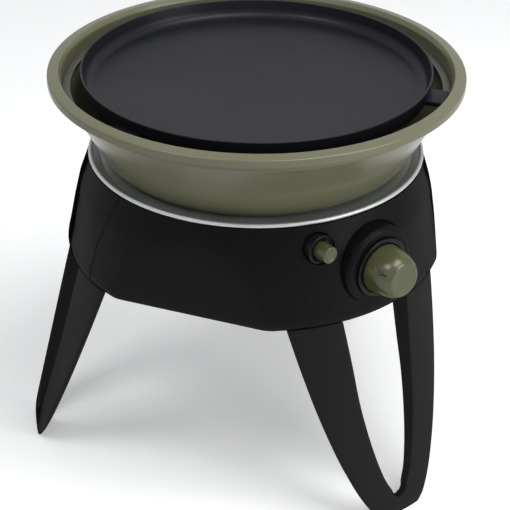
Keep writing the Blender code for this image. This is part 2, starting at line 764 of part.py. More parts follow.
def make_pan():
    """Enamelled pan: a wide lip turned down at its edge, a shoulder, a cone and a collar."""
    tilt = math.degrees(pan_lean())
    centre = (PAN_LOW_R - PAN_CURVE * math.cos(pan_lean()), PAN_FLOOR + PAN_CURVE)
    cone_wall = PAN_T / math.cos(pan_lean())
    inner = NECK_R - PAN_T
    collar = [
        (COLLAR_R - PAN_T, PAN_FLOOR),
        (COLLAR_R - PAN_T, PAN_FLOOR + COLLAR_H),
        (COLLAR_R, PAN_FLOOR + COLLAR_H),
        (COLLAR_R, PAN_FLOOR + PAN_T),
    ]
    inside = bend(centre, PAN_CURVE - PAN_T, -90, -tilt, 4)
    inside += [(pan_cone(STEP_TOP) - cone_wall, STEP_TOP), (inner, STEP_TOP), (inner, PAN_TOP - 3 * PAN_T)]
    lip = [
        (MOUTH_R - PAN_T, PAN_TOP + MOUTH_RISE - PAN_T),
        (MOUTH_R, PAN_TOP + MOUTH_RISE),
        (LIP_R - 2.5 * PAN_T, PAN_TOP + MOUTH_RISE / 3),
        (LIP_R - PAN_T / 3, PAN_TOP - PAN_T / 3),
        (LIP_R, PAN_TOP - PAN_T),
        (LIP_R, PAN_TOP - LIP_DROP),
        (LIP_R - PAN_T, PAN_TOP - LIP_DROP),
        (LIP_R - PAN_T, PAN_TOP - 2 * PAN_T),
        (LIP_R - 2.5 * PAN_T, PAN_TOP - PAN_T / 2),
        (MOUTH_R, PAN_TOP + MOUTH_RISE - 1.2 * PAN_T),
        (NECK_R, PAN_TOP - 3 * PAN_T),
    ]
    under = STEP_TOP - PAN_T
    outside = [(NECK_R, under), (pan_cone(under), under)] + bend(centre, PAN_CURVE, -tilt, -90, 4)
    return turned("fat_pan", collar + inside + lip + outside, olive_enamel, sharp=40.0)


def make_ring():
    outer = NECK_R - PAN_T - GAP
    return turned("griddle_ring", disc(outer, RING_TOP - RING_T, RING_TOP, outer - RING_W), grey_steel)


def make_griddle():
    """Cast plate: a flat middle, a curved wall and three lugs that stand on the ring."""
    top = GRIDDLE_TOP
    flat = top - GRIDDLE_DEPTH
    under = flat - GRIDDLE_T
    curve = (GRIDDLE_R - GRIDDLE_FLAT_R) * 0.7
    wall = bend((GRIDDLE_FLAT_R, flat + curve), curve, -90, -15, 4)
    outline = [(0, flat)] + wall
    outline += [
        (GRIDDLE_R - RIM_W, top - RIM_W / 2),
        (GRIDDLE_R - RIM_W / 2, top),
        (GRIDDLE_R, top - RIM_W / 4),
        (GRIDDLE_R - RIM_W / 4, top - RIM_W),
        (GRIDDLE_R - RIM_W, flat + RIM_W / 3),
        (GRIDDLE_FLAT_R + RIM_W / 3, under + GRIDDLE_T / 3),
        (GRIDDLE_FLAT_R - RIM_W, under),
        (0, under),
    ]
    plate = turned("griddle_plate", outline, black_coating)
    for azimuth in LUG_AZIMUTHS:
        low = (GRIDDLE_R - RIM_W * 1.25, -LUG_W / 2, RING_TOP + GAP)
        high = (LUG_OUT, LUG_W / 2, RING_TOP + GAP + LUG_H)
        lug = block("lug_%d" % azimuth, low, high, black_coating)
        weld(plate, place(lug, (0, 0, 0), math.radians(azimuth)))
    return plate


# Burner and gas train


def make_burner():
    """Cast cup on a stem, with a flange on the dish and slots round its rim."""
    bore = MIXER_R + GAP
    stem = bore + BURNER_T
    cup = BURNER_TOP - CUP_DEPTH
    outline = [
        (bore, BURNER_BASE),
        (FLANGE_R, BURNER_BASE),
        (FLANGE_R, BURNER_BASE + FLANGE_T),
        (stem, BURNER_BASE + FLANGE_T),
        (stem, cup - BURNER_T),
        (BURNER_R - BURNER_T, cup),
        (BURNER_R, cup + BURNER_T),
        (BURNER_R, BURNER_TOP),
        (BURNER_R - BURNER_T, BURNER_TOP),
        (BURNER_R - BURNER_T, cup + BURNER_T),
        (bore, cup + BURNER_T),
    ]
    burner = turned("burner_body", outline, cast_metal, 48)
    low, high = BURNER_BASE - WALL, BURNER_BASE + FLANGE_T + WALL
    for azimuth in BURNER_SCREWS:
        drill(burner, "flange_hole_%d" % azimuth, SCREW_R + GAP, low, high, polar(BURNER_SCREW_AT, azimuth))
    star = []
    for i in range(PORTS):
        for radius, side in ((-2, -1), (1, -1), (1, 1), (-2, 1)):
            reach = BURNER_R + radius * BURNER_T
            turn = TAU * i / PORTS + side * math.asin(PORT_W / 2 / reach)
            star.append((reach * math.cos(turn), reach * math.sin(turn)))
    low, high = BURNER_TOP - PORT_H, BURNER_TOP + PORT_H
    slots = prism("port_slots", [(*p, low) for p in star], [(*p, high) for p in star], cast_metal)
    return cut(burner, slots)


def make_cap():
    base = BURNER_TOP + GAP
    rim = BURNER_R + CAP_EDGE
    inner = BURNER_R - BURNER_T - SLIP
    outline = [
        (0, base - PORT_H),
        (inner / 2, base - PORT_H),
        (inner, base),
        (rim, base),
        (rim, base + CAP_T / 2),
        (rim - CAP_T / 2, base + CAP_T),
        (0, base + CAP_T * 1.2),
    ]
    return turned("burner_cap", outline, cast_metal, 48)


def make_mixer():
    """Tube that carries gas and air from the valve to the burner, with two air holes."""
    radius = WELL_TOP - SHEET - GAP - KNOB_Z
    start = Vector((0, GAP - VALVE_END, KNOB_Z))
    corner = Vector((0, -radius, KNOB_Z))
    centre = corner + Vector((0, 0, radius))
    turns = [math.pi / 2 * i / 8 for i in range(1, 9)]
    points = [start, corner] + [centre + radius * Vector((0, math.sin(a), -math.cos(a))) for a in turns]
    points.append(Vector((0, 0, BURNER_BASE + MIXER_IN)))
    tube = pipe("mixer_tube", points, MIXER_R, MIXER_R - MIXER_WALL, steel)
    hole = turned("air_hole", disc(AIR_HOLE_R, -2 * MIXER_R, 2 * MIXER_R), steel, 16)
    hole.location = (0, JET_L + AIR_HOLE_AT - VALVE_END, KNOB_Z)
    hole.rotation_euler = (0, math.pi / 2, 0)
    return cut(tube, hole)


def make_jet():
    outline = [(JET_BORE, -JET_L), (JET_R / 2, -JET_L), (JET_R, -JET_L / 2), (JET_R, 0), (JET_BORE, 0)]
    return place(turned("gas_jet", outline, brass, 16), (0, GAP - VALVE_END, KNOB_Z), forward=True)


def make_valve():
    """Brass valve behind the knob's seat, with ears for its screws and a boss for its inlet."""
    valve = turned("valve_body", disc(VALVE_R, VALVE_END, VALVE_FRONT), brass, FINE_STEPS)
    place(valve, (0, 0, KNOB_Z), forward=True)
    low = (-VALVE_EAR, -VALVE_FRONT, KNOB_Z - VALVE_R * 0.7)
    high = (VALVE_EAR, VALVE_EAR_T - VALVE_FRONT, KNOB_Z + VALVE_R * 0.7)
    weld(valve, block("valve_ears", low, high, brass))
    boss = turned("inlet_boss", disc(INLET_BOSS_R, KNOB_Z - VALVE_R - INLET_BOSS_H, KNOB_Z), brass, 6)
    weld(valve, place(boss, (0, INLET_BACK - VALVE_FRONT, 0)))
    stem = turned("stem_bore", disc(STEM_R + SLIP, VALVE_FRONT - STEM_IN - GAP, KNOB_SEAT), brass, 16)
    cut(valve, place(stem, (0, 0, KNOB_Z), forward=True))
    for sign in (-1, 1):
        low, high = VALVE_FRONT - VALVE_EAR_T - WALL, KNOB_SEAT
        hole = turned("valve_hole_%d" % sign, disc(SCREW_R + GAP, low, high), brass, 12)
        cut(valve, place(hole, (sign * VALVE_SCREW_AT, 0, KNOB_Z), forward=True))
    return valve


def make_inlet():
    """Hose tail under the valve, with three barbs."""
    top = KNOB_Z - VALVE_R - INLET_BOSS_H - GAP
    outline = [(INLET_BORE, top), (INLET_BORE, top - INLET_L)]
    pitch = INLET_L / 8
    for i in range(3):
        low = top - INLET_L + i * pitch
        outline += [(INLET_R - BARB, low), (INLET_R, low + pitch * 0.9)]
    outline.append((INLET_R, top))
    inlet_y = INLET_BACK - VALVE_FRONT
    return place(turned("gas_inlet", outline, brass, FINE_STEPS), (0, inlet_y, 0))


# Knob and igniter


def make_knob():
    """Round knob with a soft shoulder, a flat face and a notch that marks its turn."""
    bore = STEM_R + GAP
    outline = [(bore, KNOB_BASE), (KNOB_R - BARB, KNOB_BASE)]
    outline += [(radius * MM, KNOB_BASE + share * KNOB_L) for share, radius in KNOB_SIDE]
    outline += [
        (0, KNOB_BASE + KNOB_L),
        (0, KNOB_BASE + HUB_DEPTH + GAP),
        (bore, KNOB_BASE + HUB_DEPTH + GAP),
    ]
    knob = turned("control_knob", outline, olive_plastic, 36, sharp=30.0)
    place(knob, (0, 0, KNOB_Z), forward=True)
    return cut(knob, notch())


def notch():
    """A wedge, wide towards the knob's base and pointed towards its face, with a sloping floor."""
    near, far = 0.34, 0.86
    shallow = smooth_read(KNOB_SIDE, near) * MM - GAP
    deep = smooth_read(KNOB_SIDE, far) * MM - NOTCH_DEPTH
    out = KNOB_R * 1.3
    near, far = KNOB_BASE + near * KNOB_L, KNOB_BASE + far * KNOB_L
    wide, narrow = NOTCH_W / 2, GAP
    low = [(shallow, -wide, near), (out, -wide, near), (out, wide, near), (shallow, wide, near)]
    high = [(deep, -narrow, far), (out, -narrow, far), (out, narrow, far), (deep, narrow, far)]
    made = place(prism("notch", low, high, olive_plastic), (0, 0, KNOB_Z))
    made.rotation_mode = "QUATERNION"
    turn = Vector((0, 0, 1)).rotation_difference(Vector((0, -1, 0)))
    spin = Vector((1, 0, 0)).rotation_difference(polar(1.0, NOTCH_TURN))
    made.rotation_quaternion = turn @ spin
    return made


def make_bezel():
    outer = SEAT_R - GAP
    inner = outer - BEZEL_W
    low, high = KNOB_SEAT + GAP, KNOB_SEAT + BEZEL_T
    edge = BEZEL_T / 4
    outline = [(inner, low), (outer, low), (outer, high - edge), (outer - edge, high), (inner, high)]
    return place(turned("knob_bezel", outline, black_plastic, 48), (0, 0, KNOB_Z), forward=True)


def make_stem():
    low, high = VALVE_FRONT - STEM_IN, KNOB_BASE + HUB_DEPTH
    return place(turned("valve_stem", disc(STEM_R, low, high), brass, 16), (0, 0, KNOB_Z), forward=True)


def make_igniter():
    """Barrel through the panel, a collar in front of it, a nut behind it and a push button."""
    at = (IGNITER_X, 0, IGNITER_Z)
    bore = BUTTON_R + SLIP
    tail = IGNITER_SEAT - BARREL_L
    floor = IGNITER_SEAT - BUTTON_IN - BUTTON_TRAVEL - SLIP
    barrel = [(0, tail), (BARREL_R, tail), (BARREL_R, IGNITER_SEAT), (bore, IGNITER_SEAT)]
    barrel += [(bore, floor), (0, floor)]
    place(turned("igniter_body", barrel, black_plastic, FINE_STEPS), at, forward=True)
    low, high = IGNITER_SEAT + GAP, IGNITER_SEAT + IGNITER_COLLAR_L
    edge = IGNITER_COLLAR_L / 10
    collar = [
        (bore, low),
        (IGNITER_COLLAR_R, low),
        (IGNITER_COLLAR_R, high - edge),
        (IGNITER_COLLAR_R - edge, high),
        (bore, high),
    ]
    place(turned("igniter_collar", collar, black_plastic, FINE_STEPS), at, forward=True)
    back = IGNITER_SEAT - IGNITER_WALL - GAP
    nut = disc(BARREL_NUT_R, back - BARREL_NUT_T, back, (BARREL_R + GAP) / math.cos(math.pi / 6))
    place(turned("igniter_nut", nut, black_plastic, 6), at, forward=True)
    tip = high + BUTTON_OUT
    round_off = BUTTON_R / 8
    button = [
        (0, IGNITER_SEAT - BUTTON_IN),
        (BUTTON_R, IGNITER_SEAT - BUTTON_IN),
        (BUTTON_R, tip - round_off),
        (BUTTON_R - round_off, tip),
        (0, tip),
    ]
    place(turned("igniter_button", button, olive_plastic, FINE_STEPS), at, forward=True)


def make_electrode():
    """Spark electrode in its ceramic sleeve beside the burner, and the lead from the igniter."""
    x, y = ELECTRODE_AT
    low, high = WELL_TOP - SHEET - INSULATOR_BELOW, WELL_TOP + INSULATOR_ABOVE
    rim = INSULATOR_R + INSULATOR_RIM
    sleeve = [
        (ELECTRODE_R + GAP, low),
        (INSULATOR_R, low),
        (INSULATOR_R, WELL_TOP + GAP),
        (rim, WELL_TOP + GAP),
        (rim, WELL_TOP + GAP + FLANGE_T),
        (INSULATOR_R, WELL_TOP + GAP + FLANGE_T),
        (INSULATOR_R, high),
        (ELECTRODE_R + GAP, high),
    ]
    place(turned("electrode_sleeve", sleeve, ceramic, 16), (x, y, 0))
    foot = low - INSULATOR_RIM
    tip = BURNER_TOP + CAP_T / 2
    lean = Vector((-x, -y, 0)).normalized() * ELECTRODE_LEAN
    rod = [Vector((x, y, height)) for height in (foot, high, tip - ELECTRODE_LEAN, tip)]
    rod[-1] += lean
    pipe("spark_electrode", rod, ELECTRODE_R, 0, steel, 10)
    start = Vector((IGNITER_X, BARREL_L - IGNITER_SEAT + GAP, IGNITER_Z))
    route = [start, start + Vector((0, 3 * LEAD_R, 0))]
    route += [Vector((u * MM, v * MM, STAND_H + w * MM)) for u, v, w in LEAD_ROUTE]
    route += [Vector((x, y, foot - 3 * LEAD_R)), Vector((x, y, foot - GAP))]
    pipe("ignition_lead", smooth_route(route), LEAD_R, 0, black_plastic, 8)


# Fasteners


def bolt(name, radius, length, at, head_down=True, forward=False):
    """A round-headed screw: its head's seat is at the given place."""
    way = 1 if head_down else -1
    head = radius * HEAD_SHARE
    outline = [(0, -way * HEAD_H), (head, -way * HEAD_H), (head, 0)]
    outline += [(radius, 0), (radius, way * length), (0, way * length)]
    return place(turned(name, outline, steel, 12), at, forward=forward)


def nut(name, radius, thickness, at):
    flats = math.cos(math.pi / 6)
    outline = disc(radius * HEAD_SHARE / flats, 0, thickness, (radius + GAP) / flats)
    return place(turned(name, outline, steel, 6), at)


def make_fasteners():
    for i, azimuth in enumerate(flat_azimuths(), 1):
        low, high = COVER_BASE - GAP, WELL_TOP + GAP
        bolt("tie_bolt_%d" % i, TIE_R, high + NUT_T + 2 * GAP - low, polar(TIE_AT, azimuth, low))
        nut("tie_nut_%d" % i, TIE_R, NUT_T, polar(TIE_AT, azimuth, high))
    for i, azimuth in enumerate(BURNER_SCREWS, 1):
        high, low = BURNER_BASE + FLANGE_T + GAP, WELL_TOP - SHEET - GAP - NUT_T
        at = polar(BURNER_SCREW_AT, azimuth, high)
        bolt("burner_screw_%d" % i, SCREW_R, high - low + 2 * GAP, at, False)
        nut("burner_nut_%d" % i, SCREW_R, NUT_T, polar(BURNER_SCREW_AT, azimuth, low))
    for i, sign in enumerate((-1, 1), 1):
        seat = KNOB_SEAT + GAP
        length = seat - VALVE_FRONT + VALVE_EAR_T + GAP
        at = (sign * VALVE_SCREW_AT, -seat, KNOB_Z)
        bolt("valve_screw_%d" % i, SCREW_R, length, at, False, forward=True)


for old in list(bpy.data.objects):
    bpy.data.objects.remove(old, do_unlink=True)

axis = bpy.data.objects.new("burner_axis", None)
axis.location = (0, AXIS_Y, 0)
bpy.context.scene.collection.objects.link(axis)

black_plastic = material("black plastic", (0.016, 0.016, 0.017), 0.42)
olive_plastic = material("olive plastic", (0.075, 0.085, 0.035), 0.4)
olive_enamel = material("olive enamel", (0.17, 0.17, 0.09), 0.35)
black_coating = material("black coating", (0.03, 0.03, 0.034), 0.45)
grey_steel = material("dull grey steel", (0.05, 0.05, 0.045), 0.6, 0.4)
steel = material("bright steel", (0.6, 0.61, 0.61), 0.3, 1.0)
cast_metal = material("cast metal", (0.35, 0.34, 0.33), 0.55, 1.0)
brass = material("brass", (0.68, 0.5, 0.22), 0.35, 1.0)
ceramic = material("ceramic", (0.82, 0.8, 0.74), 0.3)

make_housing()
make_cover()
for leg_side, leg_azimuth in LEG_AZIMUTHS.items():
    make_leg(leg_side, leg_azimuth)
    pin_shape("hinge_pin_" + leg_side, PIN_R, SLIP + EAR_T + GAP, steel, leg_azimuth)
make_dish()
make_pan()
make_ring()
make_griddle()
make_burner()
make_cap()
make_mixer()
make_jet()
make_valve()
make_inlet()
make_knob()
make_bezel()
make_stem()
make_igniter()
make_electrode()
make_fasteners()
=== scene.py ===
"""Portable round gas griddle on folding loop legs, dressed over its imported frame.

Metres, +Z up. The knob and the front leg face -Y. Heights are from the floor, and most pieces are
turned about the burner's axis, which stands a little behind the origin.
"""

import math

import bmesh
import bpy
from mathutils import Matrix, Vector


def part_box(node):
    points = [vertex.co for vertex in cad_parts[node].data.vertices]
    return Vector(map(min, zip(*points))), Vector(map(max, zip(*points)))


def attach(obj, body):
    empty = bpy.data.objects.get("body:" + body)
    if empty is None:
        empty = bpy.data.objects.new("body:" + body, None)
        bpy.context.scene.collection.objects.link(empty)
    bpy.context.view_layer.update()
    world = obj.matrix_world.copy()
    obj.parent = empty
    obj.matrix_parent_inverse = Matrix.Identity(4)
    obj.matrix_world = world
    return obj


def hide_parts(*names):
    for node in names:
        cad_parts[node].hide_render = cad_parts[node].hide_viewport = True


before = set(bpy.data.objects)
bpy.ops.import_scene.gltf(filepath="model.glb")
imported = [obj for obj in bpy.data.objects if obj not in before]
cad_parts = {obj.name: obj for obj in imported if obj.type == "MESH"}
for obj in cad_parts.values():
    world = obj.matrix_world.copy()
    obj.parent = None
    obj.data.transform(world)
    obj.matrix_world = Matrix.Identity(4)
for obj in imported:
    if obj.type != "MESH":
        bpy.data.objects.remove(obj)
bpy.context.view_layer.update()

MM = 0.001
ROUND = 240  # steps round a large piece
MIDDLING = 144  # round the knob, its ring and the burner
SMALL = 72  # round the igniter
TINY = 24  # and round a screw hole
SMOOTH = 30.0  # edges that fold by more degrees than this stay sharp

# Read from the frame
pan_low, pan_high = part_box("fat_pan")
shell_low, shell_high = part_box("housing_shell")
dish_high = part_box("burner_dish")[1]
plate_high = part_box("griddle_plate")[1]
ring_low, ring_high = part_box("griddle_ring")
knob_low, knob_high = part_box("control_knob")
bezel_low, bezel_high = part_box("knob_bezel")
collar_low, collar_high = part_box("igniter_collar")
button_low, button_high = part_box("igniter_button")
burner_low, burner_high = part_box("burner_body")
cap_low, cap_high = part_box("burner_cap")

AXIS_Y = (pan_low.y + pan_high.y) / 2
LIP_R = (pan_high.x - pan_low.x) / 2
MOUTH_RISE = 1.9 * MM
LIP = pan_high.z - MOUTH_RISE  # height of the pan's lip
PAN_FLOOR = pan_low.z
STAND_H = shell_low.z
HOUSING_TOP = shell_high.z
RING_TOP = ring_high.z
KNOB_Z = (knob_low.z + knob_high.z) / 2
IGNITER_X = (collar_low.x + collar_high.x) / 2
IGNITER_Z = (collar_low.z + collar_high.z) / 2
LEG_AZIMUTHS = {"front": -90.0, "right": 30.0, "left": 150.0}
LEG_R = 164.0 * MM  # outer face of the legs at their top

# The camera, as fitted to the photograph
LENS = 116.83
SENSOR = 36.0
CAMERA_TURN = math.radians(39.216)  # it stands this far to the left of the knob
CAMERA_RISE = 0.5275879
CAMERA_ROLL = 0.0108
CAMERA_DISTANCE = 7.92297 * LIP_R
CAMERA_DROP = 0.90205 * LIP_R  # it aims this far below the lip's middle
CAMERA_SIDE = 0.00135 * LIP_R

FILL = 0.32  # the world's light on the object
FLOOR_LIFT = 0.27


# Modelling by hand


def deselect():
    bpy.ops.object.select_all(action="DESELECT")


def hold(made):
    """Makes a piece the only selected one."""
    deselect()
    made.select_set(True)
    bpy.context.view_layer.objects.active = made
    return made


def named(name):
    made = bpy.context.object
    made.name = made.data.name = name
    return made


def settle(made):
    """Puts a piece's place, turn and size into its mesh."""
    hold(made)
    bpy.ops.object.transform_apply(location=True, rotation=True, scale=True)
    return made


def edit(made):
    hold(made)
    bpy.ops.object.mode_set(mode="EDIT")
    bpy.ops.mesh.select_all(action="DESELECT")


def leave():
    bpy.ops.object.mode_set(mode="OBJECT")


def pick(made, test, kind="faces"):
    """Selects the vertices, edges or faces of the piece in edit mode that pass a test."""
    bpy.ops.mesh.select_all(action="DESELECT")
    modes = {"verts": "VERT", "edges": "EDGE", "faces": "FACE"}
    bpy.ops.mesh.select_mode(type=modes[kind])
    mesh = bmesh.from_edit_mesh(made.data)
    mesh.normal_update()
    for part in getattr(mesh, kind):
        if test(part):
            part.select_set(True)
    bmesh.update_edit_mesh(made.data)


def middle(part):
    """Middle of an edge or a face."""
    return sum((vert.co for vert in part.verts), Vector()) / len(part.verts)


def fold_angle(edge):
    return edge.calc_face_angle(0.0)


def smooth(made, angle=35.0):
    hold(made)
    bpy.ops.object.shade_smooth_by_angle(angle=math.radians(angle))
    return made


def apply_modifier(made, kind, **settings):
    modifier = hold(made).modifiers.new(kind.lower(), kind)
    for key, value in settings.items():
        setattr(modifier, key, value)
    bpy.ops.object.modifier_apply(modifier=modifier.name)
    return made


def shape_with(made, tool, operation):
    """Joins a piece with a tool or cuts it by the tool, which is used up."""
    apply_modifier(made, "BOOLEAN", object=tool, operation=operation, solver="EXACT")
    bpy.data.objects.remove(tool, do_unlink=True)
    return made


def face_out(made):
    edit(made)
    bpy.ops.mesh.select_all(action="SELECT")
    bpy.ops.mesh.remove_doubles(threshold=0.002 * MM)
    bpy.ops.mesh.normals_make_consistent(inside=False)
    leave()
    return made


def copy_of(made, name):
    hold(made)
    bpy.ops.object.duplicate(linked=False)
    return named(name)


def arc(centre, radius, start, end, steps):
    """Points of (radius, height) on an arc, angles in degrees."""
    turns = [math.radians(start + (end - start) * i / steps) for i in range(steps + 1)]
    return [(centre[0] + radius * math.cos(a), centre[1] + radius * math.sin(a)) for a in turns]


def rounded(corners, steps=5):
    """An outline from corners of (radius, height, fillet)."""
    outline = []
    for i, (out, up, fillet) in enumerate(corners):
        here = Vector((out, up))
        back = Vector(corners[i - 1][:2]) - here
        on = Vector(corners[(i + 1) % len(corners)][:2]) - here
        if fillet == 0:
            outline.append((out, up))
            continue
        half = back.angle(on) / 2
        reach = min(fillet / math.tan(half), back.length * 0.49, on.length * 0.49)
        fillet = reach * math.tan(half)
        centre = here + (back.normalized() + on.normalized()).normalized() * fillet / math.sin(half)
        first = here + back.normalized() * reach - centre
        last = here + on.normalized() * reach - centre
        start, end = math.atan2(first.y, first.x), math.atan2(last.y, last.x)
        sweep = (end - start + math.pi) % math.tau - math.pi
        for k in range(steps + 1):
            turn = start + sweep * k / steps
            outline.append((centre.x + fillet * math.cos(turn), centre.y + fillet * math.sin(turn)))
    return outline


def spun(name, outline, steps=MIDDLING, at=(0, AXIS_Y, 0), forward=False, angle=35.0):
    """A ring extruded and scaled from one point of an outline to the next, about Z or facing -Y."""
    deselect()
    capped = outline[0][0] == 0
    rings = [point for point in outline if point[0] > 0]
    radius, height = rings[0]
    bpy.ops.mesh.primitive_circle_add(vertices=steps, radius=radius, location=(0, 0, height))
    made = settle(named(name))
    edit(made)
    bpy.ops.mesh.select_all(action="SELECT")
    for new_radius, new_height in rings[1:]:
        bpy.ops.mesh.extrude_region_move(TRANSFORM_OT_translate={"value": (0, 0, new_height - height)})
        share = new_radius / radius
        bpy.ops.transform.resize(value=(share, share, 1), center_override=(0, 0, new_height))
        radius, height = new_radius, new_height
    bpy.ops.mesh.select_all(action="DESELECT")
    bpy.ops.mesh.select_non_manifold()
    if capped:
        bpy.ops.mesh.fill_holes(sides=0)
    else:
        bpy.ops.mesh.bridge_edge_loops()
    bpy.ops.mesh.select_all(action="SELECT")
    bpy.ops.mesh.normals_make_consistent(inside=False)
    leave()
    made.location = at
    made.rotation_euler.x = math.pi / 2 if forward else 0
    return smooth(settle(made), angle)


def block(name, low, high, turn=0.0):
    """A box between two corners, turned about the burner's axis."""
    deselect()
    centre = [(a + b) / 2 for a, b in zip(low, high)]
    bpy.ops.mesh.primitive_cube_add(size=1, location=centre)
    made = named(name)
    made.scale = [b - a for a, b in zip(low, high)]
    settle(made)
    if turn:
        made.rotation_euler.z = turn
        settle(made)
    made.location.y = AXIS_Y
    return settle(made)


def drill(made, radius, low, high, x, y):
    """An upright round hole at a place from the burner's axis."""
    tool = spun("hole", [(0, low), (radius, low), (radius, high), (0, high)], TINY)
    tool.location = (x, y, 0)
    return shape_with(made, settle(tool), "DIFFERENCE")


def polar(radius, azimuth, height=0.0):
    """A place round the burner's axis, as a vector from that axis."""
    turn = math.radians(azimuth)
    return Vector((radius * math.cos(turn), radius * math.sin(turn), height))


def read_off(table, at, column=1):
    """Straight-line reading of a table of rows that start with a rising value."""
    for low, high in zip(table, table[1:]):
        if at <= high[0]:
            share = (at - low[0]) / (high[0] - low[0])
            return low[column] + share * (high[column] - low[column])
    return table[-1][column]


def smooth_read(rows, at):
    """A smooth curve through (position, value) rows."""
    last = len(rows) - 1
    slopes = []
    for i in range(last + 1):
        low, high = rows[max(i - 1, 0)], rows[min(i + 1, last)]
        slopes.append((high[1] - low[1]) / (high[0] - low[0]))
    i = min(max(sum(at > row[0] for row in rows) - 1, 0), last - 1)
    width = rows[i + 1][0] - rows[i][0]
    s = (at - rows[i][0]) / width
    start = (1 + 2 * s) * (1 - s) ** 2 * rows[i][1] + s * (1 - s) ** 2 * width * slopes[i]
    return start + s * s * (3 - 2 * s) * rows[i + 1][1] + s * s * (s - 1) * width * slopes[i + 1]


# Finishes


def new_finish(name, colour, roughness, metallic=0.0, **sockets):
    """A material with its constant values on the shader's own sockets."""
    look = bpy.data.materials.new(name)
    look.use_nodes = True
    shader = look.node_tree.nodes["Principled BSDF"]
    shader.inputs["Base Color"].default_value = (*colour, 1)
    shader.inputs["Roughness"].default_value = roughness
    shader.inputs["Metallic"].default_value = metallic
    for socket, value in sockets.items():
        shader.inputs[socket].default_value = value
    return look, shader


def add_node(look, kind, sources=(), **settings):
    """A node with its settings, and with links from other nodes' sockets to its inputs."""
    node = look.node_tree.nodes.new(kind)
    for key, value in settings.items():
        setattr(node, key, value)
    for socket, source in sources:
        if hasattr(source, "is_output"):
            look.node_tree.links.new(source, node.inputs[socket])
        else:
            node.inputs[socket].default_value = source
    return node


def add_noise(look, vector, scale, detail=2.0, roughness=0.5):
    sources = [("Vector", vector), ("Scale", scale), ("Detail", detail), ("Roughness", roughness)]
    return add_node(look, "ShaderNodeTexNoise", sources).outputs["Fac"]


def add_range(look, value, low, high, start=0.3, end=0.7):
    sources = [("Value", value), ("From Min", start), ("From Max", end), ("To Min", low), ("To Max", high)]
    return add_node(look, "ShaderNodeMapRange", sources).outputs["Result"]


def add_tint(look, shader, value, dark, light):
    """Lets a pattern run the base colour between two tones."""
    ramp = add_node(look, "ShaderNodeValToRGB", [("Fac", value)])
    ramp.color_ramp.elements[0].color = (*dark, 1)
    ramp.color_ramp.elements[1].color = (*light, 1)
    look.node_tree.links.new(ramp.outputs["Color"], shader.inputs["Base Color"])
    return ramp


def add_bump(look, shader, height, distance, strength=1.0):
    sources = [("Height", height), ("Distance", distance), ("Strength", strength)]
    bump = add_node(look, "ShaderNodeBump", sources)
    look.node_tree.links.new(bump.outputs["Normal"], shader.inputs["Normal"])
    return bump


def mixed(look, first, second, share):
    """Adds a share of one pattern to another."""
    sources = [(0, second), (1, share), (2, first)]
    return add_node(look, "ShaderNodeMath", sources, operation="MULTIPLY_ADD").outputs["Value"]


def object_place(look):
    return add_node(look, "ShaderNodeTexCoord").outputs["Object"]


def fade_sheen(look, shader, level, edge=0.0):
    """Takes the sheen away where a grained skin is seen at a low angle."""
    facing = add_node(look, "ShaderNodeLayerWeight", [("Blend", 0.5)]).outputs["Facing"]
    sheen = add_range(look, facing, level, edge, 0.25, 0.8)
    look.node_tree.links.new(sheen, shader.inputs["Specular IOR Level"])


def moulded(name, colour, roughness, grain=900.0, depth=0.05, spread=0.12, sheen=0.5):
    """Moulded plastic: a fine even grain, and a sheen that wanders a little."""
    look, shader = new_finish(name, colour, roughness)
    fade_sheen(look, shader, sheen, 0.0)
    place = object_place(look)
    wander = add_noise(look, place, 14.0, 3.0)
    add_tint(look, shader, wander, [c * (1 - spread) for c in colour], [c * (1 + spread) for c in colour])
    fine = add_noise(look, place, grain, 3.0, 0.6)
    sheen = mixed(look, wander, fine, 0.35)
    rough = add_range(look, sheen, roughness - 0.05, roughness + 0.06, 0.4, 0.95)
    look.node_tree.links.new(rough, shader.inputs["Roughness"])
    add_bump(look, shader, fine, depth * MM, 0.6)
    return look


def enamelled(name, colour, roughness, sheen=0.5):
    """Enamel on steel: a slightly uneven skin, a little lighter where it pools."""
    look, shader = new_finish(name, colour, roughness)
    fade_sheen(look, shader, sheen, sheen / 3)
    place = object_place(look)
    wander = add_noise(look, place, 9.0, 3.0)
    add_tint(look, shader, wander, [c * 0.94 for c in colour], [c * 1.06 for c in colour])
    peel = add_noise(look, place, 260.0, 2.0)
    fine = add_noise(look, place, 1500.0, 2.0, 0.6)
    rough = add_range(look, mixed(look, wander, fine, 0.3), roughness - 0.04, roughness + 0.05, 0.4, 0.9)
    look.node_tree.links.new(rough, shader.inputs["Roughness"])
    add_bump(look, shader, mixed(look, peel, fine, 0.25), 0.03 * MM, 0.5)
    return look


def coated(name, colour, fleck, roughness, sheen):
    """Non-stick coating on cast metal: dark, satin, with tiny lighter flecks."""
    look, shader = new_finish(name, colour, roughness)
    fade_sheen(look, shader, sheen, sheen / 2)
    place = object_place(look)
    flecks = add_noise(look, place, 2600.0, 1.0)
    ramp = add_tint(look, shader, flecks, colour, fleck)
    ramp.color_ramp.elements[0].position = 0.62
    ramp.color_ramp.elements[1].position = 0.8
    cast = add_noise(look, place, 420.0, 4.0, 0.6)
    wander = add_noise(look, place, 11.0, 3.0)
    rough = add_range(look, mixed(look, wander, cast, 0.3), roughness - 0.05, roughness + 0.06, 0.4, 0.9)
    look.node_tree.links.new(rough, shader.inputs["Roughness"])
    add_bump(look, shader, mixed(look, cast, flecks, 0.4), 0.05 * MM, 0.7)
    return look


